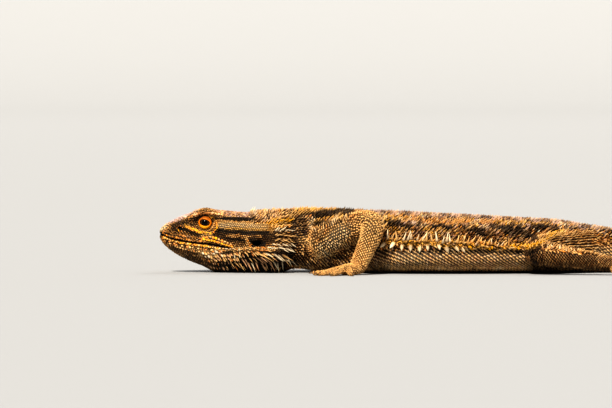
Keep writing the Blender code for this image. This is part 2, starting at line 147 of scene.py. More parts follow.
class Paint:
    """One material and its node tree."""

    def __init__(self, name, **constants):
        self.material = bpy.data.materials.new(name)
        self.material.use_nodes = True
        self.nodes, self.links = self.material.node_tree.nodes, self.material.node_tree.links
        self.shader = self.nodes["Principled BSDF"]
        for key, value in constants.items():
            self.feed(key.replace("_", " "), value)

    def node(self, kind, settings, values, output=0):
        """Any node: its settings are set first, then the values or links of its sockets."""
        made = self.nodes.new(kind)
        for key, value in settings.items():
            setattr(made, key, value)
        for key, value in values.items():
            self.join(made.inputs[key], value)
        return Sock(self, made.outputs[output])

    def join(self, socket, value):
        if isinstance(value, Sock):
            self.links.new(value.socket, socket)
        else:
            socket.default_value = value

    def feed(self, name, value):
        self.join(self.shader.inputs[name], value)

    def mix(self, share, one, other):
        """A mix of two colours: inputs 6 and 7 are the colour pair of a Mix node and output 2 its result."""
        return self.node("ShaderNodeMix", dict(data_type="RGBA"), {0: share, 6: one, 7: other}, 2)

    def attribute(self, name, output="Color"):
        return self.node("ShaderNodeAttribute", dict(attribute_name=name), {}, output)

    def place(self):
        return self.node("ShaderNodeTexCoord", {}, {}, "Object")

    def cloud(self, scale, detail=3.0):
        values = {"Vector": self.place(), "Scale": scale, "Detail": detail, "Roughness": 0.55}
        return self.node("ShaderNodeTexNoise", {}, values)


print("shader maths ready")

# %% A studio floor that bends up into a round wall
STUDIO_RADIUS, WALL_BEND, WALL_STEPS = 16.0, 4.0, 12


def to_object(name, bm):
    """Turns a bmesh into a new object at the origin."""
    mesh = bpy.data.meshes.new(name)
    bm.to_mesh(mesh)
    bm.free()
    obj = bpy.data.objects.new(name, mesh)
    bpy.context.scene.collection.objects.link(obj)
    return obj


bm = bmesh.new()
profile = [bm.verts.new((0, 0, 0)), bm.verts.new((STUDIO_RADIUS - WALL_BEND, 0, 0))]
for step in range(1, WALL_STEPS + 1):
    turn = math.radians(90 * step / WALL_STEPS)
    x = STUDIO_RADIUS - WALL_BEND * (1 - math.sin(turn))
    profile.append(bm.verts.new((x, 0, WALL_BEND * (1 - math.cos(turn)))))
edges = [bm.edges.new(pair) for pair in zip(profile, profile[1:])]
bmesh.ops.spin(bm, geom=profile + edges, axis=(0, 0, 1), cent=(0, 0, 0), angle=math.tau, steps=96,
               use_merge=True)
bmesh.ops.remove_doubles(bm, verts=bm.verts, dist=1e-5)
bmesh.ops.recalc_face_normals(bm, faces=bm.faces)
floor = to_object("studio_floor", bm)
floor.data.shade_smooth()
floor.data.materials.append(Paint("pale_floor", Base_Color=(0.36, 0.38, 0.41, 1), Roughness=0.9).material)
print("studio", 2 * STUDIO_RADIUS, "m across")

# %% [markdown]
# ## Measuring the body
# Scales run in rows along and round the body, so every point of the skin needs two numbers: how far it is
# from the snout, and how far round from the spine. The sections below are those of the solids. The girth is
# measured along each section once and looked up after that.

# %% Sections of head, trunk and tail
VENT_AT, TAIL_LENGTH, TAIL_SWAY = 235.0, 263.0, 16.0
BODY_END = 497.0
SECTIONS = np.array([  # from the snout, half width, height of the sides, top, bottom
    (0, 2.4, 19.2, 21.2, 17), (2, 4.9, 18.8, 23.2, 14), (8, 8.3, 18.2, 26.6, 9.3), (15, 11, 17.8, 29.4, 5.6),
    (22, 13.8, 17, 31, 3), (27, 15.9, 16.4, 31, 0.2), (34, 18.2, 15.6, 30.6, 0), (43, 20.6, 14, 29.8, 0),
    (51, 22, 13, 30.2, 0), (58, 21.2, 12.6, 30.8, 0), (64, 18.6, 13.2, 31.2, 0.8), (69, 17.4, 14, 31.8, 2.6),
    (76, 19.4, 13, 32, 0.6), (86, 23.8, 12, 32, 0), (100, 30.6, 11.2, 31.6, 0), (120, 37.2, 10.6, 30.4, 0),
    (140, 39.2, 10.2, 29.2, 0), (160, 37.6, 10.2, 28, 0), (180, 33.2, 10.4, 27.2, 0),
    (195, 27.4, 10.8, 26.2, 0), (210, 21.6, 11, 24, 0), (240, 13.8, 9, 19.2, 0), (265, 10.4, 7.4, 15.8, 0),
    (300, 7.9, 5.8, 12.4, 0), (350, 5.5, 4.2, 8.9, 0), (400, 3.8, 3, 6.4, 0), (450, 2.5, 2, 4.3, 0),
    (498, 0.8, 0.9, 1.7, 0),
])
ROUNDNESS = 2.3
TURNS = np.linspace(0, math.pi, 73)
STOP_GAP = 4.0
STOPS = np.arange(0.0, 500.0, STOP_GAP)


def section(at):
    return [np.interp(at, SECTIONS[:, 0], SECTIONS[:, k]) for k in range(1, 5)]


def tail_offset(at):
    share = np.clip((at - VENT_AT) / TAIL_LENGTH, 0, None)
    return TAIL_SWAY * np.sin(1.45 * math.pi * share) * np.minimum(1.0, 2.2 * share)


def power(value, exponent):
    return np.sign(value) * np.abs(value) ** exponent


def outline(at, turn):
    """The section's point at an angle from the spine, as (off the midline, height)."""
    half, side, top, bottom = section(at)
    up = power(np.cos(turn), 2 / ROUNDNESS)
    return half * power(np.sin(turn), 2 / ROUNDNESS), side + np.where(up > 0, top - side, side - bottom) * up


across, height = outline(STOPS[:, None], TURNS[None, :])
runs = np.hypot(np.diff(across, axis=1), np.diff(height, axis=1))
GIRTHS = np.hstack([np.zeros((len(STOPS), 1)), np.cumsum(runs, axis=1)])
print("half girth at mid trunk", round(float(GIRTHS[35, -1]), 1), "mm")

# %% A point's place on the body


def shares_of(points, at):
    """Off the middle and above the sides' height, as shares of the section there, and the section's size."""
    half, side, top, bottom = section(at)
    rise = points[:, 2] - side
    tall = np.where(rise > 0, top - side, side - bottom)
    return (points[:, 1] - tail_offset(at)) / half, rise / np.maximum(tall, 0.1), np.minimum(half, tall)


def body_place(points):
    """From the snout, mm round from the spine (below nothing on the left), and the half girth there."""
    at = points[:, 0]
    wide, high, size = shares_of(points, at)
    turn = np.arctan2(np.abs(wide) ** (ROUNDNESS / 2), power(high, ROUNDNESS / 2))
    i, u = np.divmod(np.clip(at / STOP_GAP, 0, len(STOPS) - 1.001), 1)
    j, v = np.divmod(turn / math.pi * (len(TURNS) - 1.001), 1)
    i, j = i.astype(int), j.astype(int)
    low = GIRTHS[i, j] * (1 - v) + GIRTHS[i, j + 1] * v
    high = GIRTHS[i + 1, j] * (1 - v) + GIRTHS[i + 1, j + 1] * v
    half_girth = GIRTHS[i, -1] * (1 - u) + GIRTHS[i + 1, -1] * u
    return at, np.sign(wide) * (low * (1 - u) + high * u), half_girth


def body_gap(points):
    """Roughly how far each point is outside the head, trunk or tail."""
    wide, high, size = shares_of(points, np.clip(points[:, 0], 1, BODY_END))
    ratio = (np.abs(wide) ** ROUNDNESS + np.abs(high) ** ROUNDNESS) ** (1 / ROUNDNESS)
    return (ratio - 1) * size + np.maximum(points[:, 0] - BODY_END, 0)


print("the trunk is", round(2 * float(SECTIONS[:, 1].max()), 1), "mm wide")

# %% [markdown]
# ## The skeleton of the limbs
# Each limb follows a smooth curve through its joints, and each digit a short one of its own. Scales on a
# limb are placed by how far they are along that curve and how far round it, so the rows turn with elbow and
# knee.

# %% Limbs, feet and digits
HAND = [(-42, 10.5), (-18, 14.5), (4, 16.5), (27, 16.0), (62, 12.0)]
TOES = [(-44, 9.5), (-20, 14.5), (-3, 19.0), (12, 23.0), (46, 13.0)]
UPRIGHT = np.array([0.0, 0.0, 1.0])
KINDS = {  # radii at the joints, sole length, digits as (angle, length), and what counts as up round it
    "front": ([8.6, 6.3, 4.2], 9.0, HAND, np.array([-1.0, 0.0, 0.15])),
    "hind": ([9.2, 6.6, 3.8], 12.0, TOES, UPRIGHT),
}
LIMBS = {  # side, joints, compass heading of the foot
    "front_left": (-1, [(80, -17, 15), (105.5, -38.5, 25), (99, -48.5, 4.6)], 36),
    "front_right": (1, [(80, 17, 15), (103, 39.5, 22.5), (91, 51, 4.6)], 24),
    "hind_left": (-1, [(214, -11, 12.6), (187, -40.5, 11.2), (225, -52, 5.4)], 122),
    "hind_right": (1, [(214, 11, 12.6), (191, 41.5, 11.0), (229, 51, 5.4)], 112),
}
PALM_RADIUS, KNUCKLE_HEIGHT, KNUCKLE_SPREAD = 4.2, 2.5, 3.7
DIGIT_RADIUS, CLAW_LENGTH = 1.45, 3.4


def smooth_route(points, radii, steps=8):
    """A smooth curve through the points, as rows of x, y, z and radius."""
    stops = np.column_stack([np.array(points, float), radii])
    ends = np.vstack([2 * stops[0] - stops[1], stops, 2 * stops[-1] - stops[-2]])
    route = []
    for i in range(1, len(ends) - 2):
        for t in np.arange(steps + (i == len(ends) - 3)) / steps:
            shares = [-t + 2 * t**2 - t**3, 2 - 5 * t**2 + 3 * t**3, t + 4 * t**2 - 3 * t**3, t**3 - t**2]
            route.append(0.5 * np.array(shares) @ ends[i - 1 : i + 3])
    return np.array(route)


def compass(side, degrees):
    turn = math.radians(degrees)
    return np.array([-math.cos(turn), side * math.sin(turn), 0.0])


def digit_route(start, way, length):
    """A digit from its knuckle to its claw: it arches over the first joint and tapers."""
    r = DIGIT_RADIUS
    stops = [(0, start[2], 1.3 * r), (0.3, r + 1.0, 1.1 * r), (0.55, r + 0.2, r), (0.8, r - 0.35, r),
             (1, r - 0.45, 0.8 * r)]
    return np.array([[*(start + way * length * share)[:2], z, size] for share, z, size in stops])


ROUTES = {}  # name: (rows of x, y, z, radius; the direction that counts as straight up round it)
CLAWS = []
for name, (side, joints, heading) in LIMBS.items():
    radii, sole, digits, up = KINDS[name.split("_")[0]]
    ROUTES[name] = (smooth_route(joints, radii), up)
    root = np.array(joints[-1], float)
    ahead, sideways = compass(side, heading), compass(side, heading + 90)
    palm = [[*root, radii[-1]]]
    for share, high in ((0.5, 2.9), (1.15, 2.4)):
        palm.append([*(root + ahead * sole * share)[:2], high, PALM_RADIUS])
    ROUTES[name + "_palm"] = (np.array(palm), UPRIGHT)
    knuckles = root + ahead * sole
    knuckles[2] = KNUCKLE_HEIGHT
    for k, (angle, length) in enumerate(digits):
        way = compass(side, heading + angle)
        start = knuckles + sideways * math.sin(math.radians(angle)) * KNUCKLE_SPREAD
        route = digit_route(start, way, length)
        ROUTES[f"{name}_digit_{k}"] = (route, UPRIGHT)
        CLAWS.append((route[-1, :3], way))
print(len(ROUTES), "routes,", len(CLAWS), "claws")

# %% Which part of the body a point belongs to


def along_route(points, route):
    """Of each point: gap to the route's tube, how far along, radius, direction and the nearest centre."""
    spans = np.linalg.norm(np.diff(route[:, :3], axis=0), axis=1)
    starts = np.concatenate([[0], np.cumsum(spans)])
    result = np.full((len(points), 9), np.inf)
    for i, span in enumerate(spans):
        way = (route[i + 1, :3] - route[i, :3]) / span
        share = np.clip((points - route[i, :3]) @ way / span, 0, 1)
        near = route[i, :3] + share[:, None] * way * span
        radius = route[i, 3] + share * (route[i + 1, 3] - route[i, 3])
        gap = np.linalg.norm(points - near, axis=1) - radius
        ways = np.tile(way, (len(points), 1))
        found = np.column_stack([gap, starts[i] + share * span, radius, ways, near])
        result = np.where((gap < result[:, 0])[:, None], found, result)
    return result


def regions_of(points):
    """The part of the body that each point belongs to, as an index into REGIONS."""
    gaps = [body_gap(points) - 0.4]
    gaps += [along_route(points, route)[:, 0] for route, up in ROUTES.values()]
    return np.argmin(gaps, axis=0)


REGIONS = ["body", *ROUTES]
IS_FOOT = np.array(["palm" in name or "digit" in name for name in REGIONS])
IS_FRONT = np.array([name.startswith("front") for name in REGIONS])
IS_HIND = np.array([name.startswith("hind") for name in REGIONS])
print(len(REGIONS), "regions")

# %% [markdown]
# ## One skin over all the flesh
# The solids are parted by thin cuts. Each is swollen a little so that the cuts close, and a voxel remesh
# then turns all of them into one surface. Smoothing takes out the facets, and simplifying keeps most faces
# on the head, where the folds are. A museum model maker would do the same in clay over a core.

# %% Fuse the solids into one skin
SWELL, VOXEL = 0.25, 0.55
SOCKET_FILLING = 4.9
HEAD_END = 60.0
BODY_SHARE = 0.21


def modify(obj, kind, **settings):
    modifier = obj.modifiers.new(kind.lower(), kind)
    for key, value in settings.items():
        setattr(modifier, key, value)


def apply_modifiers(obj):
    bpy.context.view_layer.update()
    mesh = bpy.data.meshes.new_from_object(obj.evaluated_get(bpy.context.evaluated_depsgraph_get()))
    obj.modifiers.clear()
    obj.data = mesh


whole = bmesh.new()
for name in FLESH:
    part = bmesh.new()
    part.from_mesh(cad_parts[name].data)
    bmesh.ops.remove_doubles(part, verts=part.verts, dist=1e-6)
    part.normal_update()
    for vert in part.verts:
        vert.co += vert.normal * SWELL * MM
    swollen = bpy.data.meshes.new("swollen")
    part.to_mesh(swollen)
    part.free()
    whole.from_mesh(swollen)
EYES = {}
for side, name in ((-1, "eye_left"), (1, "eye_right")):
    low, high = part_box(name)
    EYES[side] = (low + high) / 2
    filling = bmesh.ops.create_uvsphere(whole, u_segments=24, v_segments=16, radius=SOCKET_FILLING * MM)
    bmesh.ops.translate(whole, verts=filling["verts"], vec=EYES[side])
skin = to_object("skin", whole)
modify(skin, "REMESH", mode="VOXEL", voxel_size=VOXEL * MM)
modify(skin, "SMOOTH", iterations=5, factor=0.5)
apply_modifiers(skin)
print("fused skin has", len(skin.data.polygons), "faces")

# %% Smooth the trunk and simplify all but the head


def vectors_of(items, key):
    flat = np.empty(len(items) * 3)
    items.foreach_get(key, flat)
    return flat.reshape(-1, 3)


def points_of(mesh):
    return millimetres(vectors_of(mesh.vertices, "co"))


def normals_of(mesh):
    return vectors_of(mesh.vertex_normals, "vector")


def weigh(obj, name, weights):
    """A vertex group with the given weights, in ten steps."""
    group = obj.vertex_groups.new(name=name)
    levels = np.round(weights * 10).astype(int)
    for level in range(11):
        group.add(np.nonzero(levels == level)[0].tolist(), level / 10, "REPLACE")


def ease(value, low, high):
    """0 below low, 1 above high, and a soft change between. Also works with low above high."""
    t = np.clip((value - low) / (high - low), 0, 1)
    return t * t * (3 - 2 * t)


P = points_of(skin.data)
weigh(skin, "broad", ease(P[:, 0], 60, 75) * ease(P[:, 0], 300, 240) * ease(body_gap(P), 2.0, 0.5))
weigh(skin, "simplify", np.where(P[:, 0] < HEAD_END, 0.0, 1.0))
modify(skin, "SMOOTH", iterations=40, factor=0.5, vertex_group="broad")
modify(skin, "DECIMATE", ratio=BODY_SHARE, vertex_group="simplify")
apply_modifiers(skin)
print("skin has", len(skin.data.polygons), "faces")

# %% [markdown]
# ## Folds, lips and lids
# The folds are drawn as lines in the side view and pushed in or out along the skin's own normals, as a
# thumb or a wire tool does in clay. Faces are split first where the detail is finest: round the eyes, the
# nostrils and the ears, and along the mouth.

# %% Lines of the head and the folds in the side view, as (from the snout, height)
MOUTH = [(-3, 19.6), (0.5, 18.8), (5.7, 16.8), (11, 15.7), (16, 15.0), (23, 14.4), (29, 13.5), (35, 12.2)]
CHEEK_STREAK = [(23, 16.2), (29, 15.0), (34.8, 13.4)]
UNDER_EYE = [(12.5, 22.8), (17, 21.6), (21, 19.9), (24.5, 19.3), (27.5, 20.2), (30, 22.6)]
LIP_TOP = [(5, 19.9), (12, 19.0), (19, 18.2), (25, 17.6)]
DARK_STRIPE = [(27, 26.6), (33, 26.5), (40, 26.2), (46, 25.6)]
BROW = [(9, 26.2), (14, 28.0), (19, 29.9), (27, 30.0), (31, 28.6)]
TEMPLE = [(28, 24.2), (36, 23.6), (45, 23.0), (54, 22.6)]
NAPE_FOLD = [(64.5, 27), (66, 18), (66.5, 6)]
SHOULDER_FOLD = [(74, 27), (75.5, 20), (74, 10)]
UNDER_FRINGE = [(104, 12.6), (125, 12.6), (150, 11.8), (170, 10.8), (181, 10.6), (188, 12.2)]
HIP_FOLD = [(178, 13.6), (184, 14.4), (189, 16.6), (194, 19.4), (200, 20.8), (208, 21.2)]
EAR, EAR_LONG, EAR_TALL = (48.3, 14.9), 2.5, 1.5
NOSTRIL = (10.0, 22.1)
EYE_AXIS = (-0.17, 1.0, 0.10)


def off_line(points, line):
    """How far each point is from a line in the side view."""
    best = np.full(len(points), np.inf)
    flat = points[:, [0, 2]]
    for a, b in zip(np.array(line, float), np.array(line[1:], float)):
        share = np.clip((flat - a) @ (b - a) / ((b - a) @ (b - a)), 0, 1)
        best = np.minimum(best, np.linalg.norm(flat - a - share[:, None] * (b - a), axis=1))
    return best


def off_nostril(points):
    return np.hypot(points[:, 0] - NOSTRIL[0], points[:, 2] - NOSTRIL[1])


def off_ear(points):
    """How far each point is from the middle of the ear opening: 1 on its edge."""
    return np.hypot((points[:, 0] - EAR[0]) / EAR_LONG, (points[:, 2] - EAR[1]) / EAR_TALL)


def eye_plane(points, side):
    """Each point in the eye's own frame: forward, up and out along its axis, in mm."""
    out = Vector((EYE_AXIS[0], side * EYE_AXIS[1], EYE_AXIS[2])).normalized()
    ahead = (Vector((-1, 0, 0)) - out * Vector((-1, 0, 0)).dot(out)).normalized()
    up = Vector((0, 0, 1)) - out * out.z - ahead * ahead.z
    axes = np.array([ahead, up.normalized(), out])
    centre = millimetres(np.array(EYES[side])[None, :])[0]
    return (points - centre) @ axes.T, axes, centre


print("mouth from", MOUTH[1], "to", MOUTH[-1])

# %% Split long edges, and twice more the edges of the fine zones
LONGEST_EDGE = 2.8
bm = bmesh.new()
bm.from_mesh(skin.data)
for turn in range(3):
    edges = [e for e in bm.edges if e.calc_length() > LONGEST_EDGE * MM]
    bmesh.ops.subdivide_edges(bm, edges=edges, cuts=1, use_grid_fill=True)
    bmesh.ops.triangulate(bm, faces=[f for f in bm.faces if len(f.verts) > 3])
bm.verts.index_update()
for eye_reach, mouth_reach in ((5.2, 1.3), (4.2, 0.8)):
    P = millimetres([v.co for v in bm.verts])
    beside = np.abs(P[:, 1])
    head = (P[:, 0] < HEAD_END - 8) & (beside > 0.5)
    fine = head & (off_line(P, MOUTH) < mouth_reach)
    fine |= head & (off_nostril(P) < 1.9) & (beside > 3)
    fine |= (np.hypot((P[:, 0] - EAR[0]) / 1.6, P[:, 2] - EAR[1]) < 2.4) & (beside > 10)
    for side in (-1, 1):
        local, axes, centre = eye_plane(P, side)
        fine |= (np.linalg.norm(local[:, :2], axis=1) < eye_reach) & (local[:, 2] > 0)
    bm.verts.ensure_lookup_table()
    edges = [e for e in bm.edges if fine[e.verts[0].index] and fine[e.verts[1].index]]
    bmesh.ops.subdivide_edges(bm, edges=edges, cuts=1, use_grid_fill=True)
    bmesh.ops.triangulate(bm, faces=[f for f in bm.faces if len(f.verts) > 4])
    bm.verts.index_update()
bmesh.ops.triangulate(bm, faces=bm.faces)
bm.to_mesh(skin.data)
bm.free()
print("with fine zones", len(skin.data.polygons), "triangles")

# %% Pull the skin in under the scales and shape the folds
FOLDS = [  # line, width, height out of the skin, below nothing for a groove
    (MOUTH, 0.42, -1.0), (CHEEK_STREAK, 0.6, 0.45), (UNDER_EYE, 0.8, 0.45), (LIP_TOP, 0.6, -0.35),
    (DARK_STRIPE, 0.8, -0.5), (BROW, 1.0, 0.45), (TEMPLE, 1.6, 0.5), (NAPE_FOLD, 2.0, -1.3),
    (SHOULDER_FOLD, 1.8, -0.9), (UNDER_FRINGE, 1.5, -1.1), (HIP_FOLD, 1.3, 0.9),
]
COAT_AT = [0, 20, 60, 75, 220, 260, 400, 498]
COAT_DEPTH = [0.25, 0.35, 0.5, 0.9, 0.9, 0.7, 0.45, 0.15]
LIMB_DEPTH, FOOT_DEPTH = 0.6, 0.25


def ridge(away, width):
    """A round ridge across a distance: 1 in its middle and nearly 0 two widths away."""
    return np.exp(-((away / width) ** 2))


def coat_depth(points, region):
    """How far the skin lies inside the outline: deep under the spiny back, shallow on face and feet."""
    body = np.interp(points[:, 0], COAT_AT, COAT_DEPTH)
    return np.where(IS_FOOT[region], FOOT_DEPTH, np.where(region > 0, LIMB_DEPTH, body))


P, N = points_of(skin.data), normals_of(skin.data)
region = regions_of(P)
P = P - N * coat_depth(P, region)[:, None]
sides = ease(np.abs(P[:, 1]), 0.3, 2.5) * (region == 0)
push = np.zeros(len(P))
for line, width, rise in FOLDS:
    push += rise * ridge(off_line(P, line), width)
push *= sides * ease(np.abs(N[:, 2]), 0.97, 0.8)
nostril, ear = off_nostril(P), off_ear(P)
push += sides * (0.3 * ridge(nostril - 1.3, 0.45) - 0.9 * ease(nostril, 1.0, 0.4)) * (P[:, 0] < 20)
push += sides * (0.35 * ridge(ear - 1.35, 0.3) - 1.9 * ease(ear, 1.1, 0.55)) * (np.abs(P[:, 1]) > 10)
P = P + N * push[:, None]
print("deepest", round(float(push.min()), 2), "and highest", round(float(push.max()), 2), "mm")

# %% Shape the lids over the eyes
EYE_RADIUS, LID_THICKNESS = 4.1, 0.42
OPENING, OPENING_TILT = (2.45, 1.55), math.radians(-12)
LID_RIM = (3.25, 3.05)
MIN_HEIGHT = 0.12


def opening_of(local):
    """How far a point is from the middle of the eye opening: 1 on its edge."""
    a = local[:, 0] * math.cos(OPENING_TILT) - local[:, 1] * math.sin(OPENING_TILT)
    b = local[:, 0] * math.sin(OPENING_TILT) + local[:, 1] * math.cos(OPENING_TILT)
    return np.hypot(a / OPENING[0], b / OPENING[1])


def rim_of(local):
    return np.hypot(local[:, 0] / LID_RIM[0], (local[:, 1] - 0.05) / LID_RIM[1])


def dome(radius, flat):
    """The height of a ball over its middle plane, at a distance from its axis."""
    return np.sqrt(np.maximum(radius**2 - flat**2, 0.5))


for side in (-1, 1):
    local, axes, centre = eye_plane(P, side)
    opening, rim = opening_of(local), rim_of(local)
    near = (local[:, 2] > 1.0) & (rim < 1.9)
    flat = np.linalg.norm(local[:, :2], axis=1)
    sunk = dome(EYE_RADIUS - 0.6, flat)
    lid = dome(EYE_RADIUS + LID_THICKNESS, flat) + 0.22 * ridge(rim - 0.86, 0.14)
    lid -= 0.5 * ridge(rim - 1.12, 0.10)
    out = lid + (local[:, 2] - lid) * ease(rim, 1.0, 1.75)
    out = sunk + (out - sunk) * ease(opening, 0.97, 1.10)
    local[:, 2] = np.where(near, out, local[:, 2])
    P = np.where(near[:, None], local @ axes + centre, P)
P[:, 2] = np.maximum(P[:, 2], MIN_HEIGHT)
skin.data.vertices.foreach_set("co", metres(P).ravel())
skin.data.update()
skin.data.shade_smooth()
N = normals_of(skin.data)
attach(skin, "root")
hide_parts(*FLESH)
print("skin sculpted; the eye opening is", 2 * OPENING[0], "by", 2 * OPENING[1], "mm")

# %% [markdown]
# ## Markings
# The colours follow the lizard's own marks: a dark stripe behind the eye, a pale temple, a near-black
# beard, a row of dark patches under a mottled back. One function gives the colour of any point. The skin
# and every scale ask the same function, so that a mark runs on unbroken from one to the other.

# %% Colours and soft random values


def linear(colour):
    """A colour of 0 to 255 steps as shown on a screen, in amounts of light."""
    c = np.array(colour) / 255
    return np.where(c <= 0.04045, c / 12.92, ((c + 0.055) / 1.055) ** 2.4)


TINTS = {name: linear(colour) for name, colour in dict(
    cream=(255, 208, 142), white=(255, 236, 202), yellow=(248, 182, 30), orange=(246, 142, 4),
    gold=(230, 150, 54), tan=(216, 146, 80), pink=(224, 152, 104), olive=(126, 84, 26), brown=(118, 70, 28),
    umber=(66, 38, 16), black=(18, 11, 7), lilac=(170, 144, 140), grey=(126, 100, 80), pale=(236, 188, 144),
    silver=(216, 190, 192), slate=(88, 78, 94),
).items()}
RANDOM = np.random.default_rng(5).random(4099)


def dice(cells, seed):
    """The same random value for the same cell of a grid."""
    return RANDOM[(cells @ np.array([73, 1103, 2311]) + 977 * seed) % len(RANDOM)]


def speckle(points, size, seed=0):
    """Smooth random values between 0 and 1, with features about as large as size in mm."""
    q = points / size + 31.7 * seed
    cell = np.floor(q).astype(int)
    f = q - cell
    f = f * f * (3 - 2 * f)
    total = np.zeros(len(points))
    for corner in np.ndindex(2, 2, 2):
        total += dice(cell + corner, seed) * np.prod(np.where(corner, f, 1 - f), axis=1)
    return total


def clumps(points, size, seed):
    """One random value for each clump of neighbours, about as large as size in mm."""
    return dice(np.floor(points / size + 0.9 * speckle(points, size, seed)[:, None]).astype(int), seed)


def mixed(one, other, share):
    """Mixes two colours, given as arrays or by the names of tints."""
    one, other = (TINTS[c] if isinstance(c, str) else c for c in (one, other))
    return one + (other - one) * np.clip(share, 0, 1)[..., None]


print(len(TINTS), "tints")

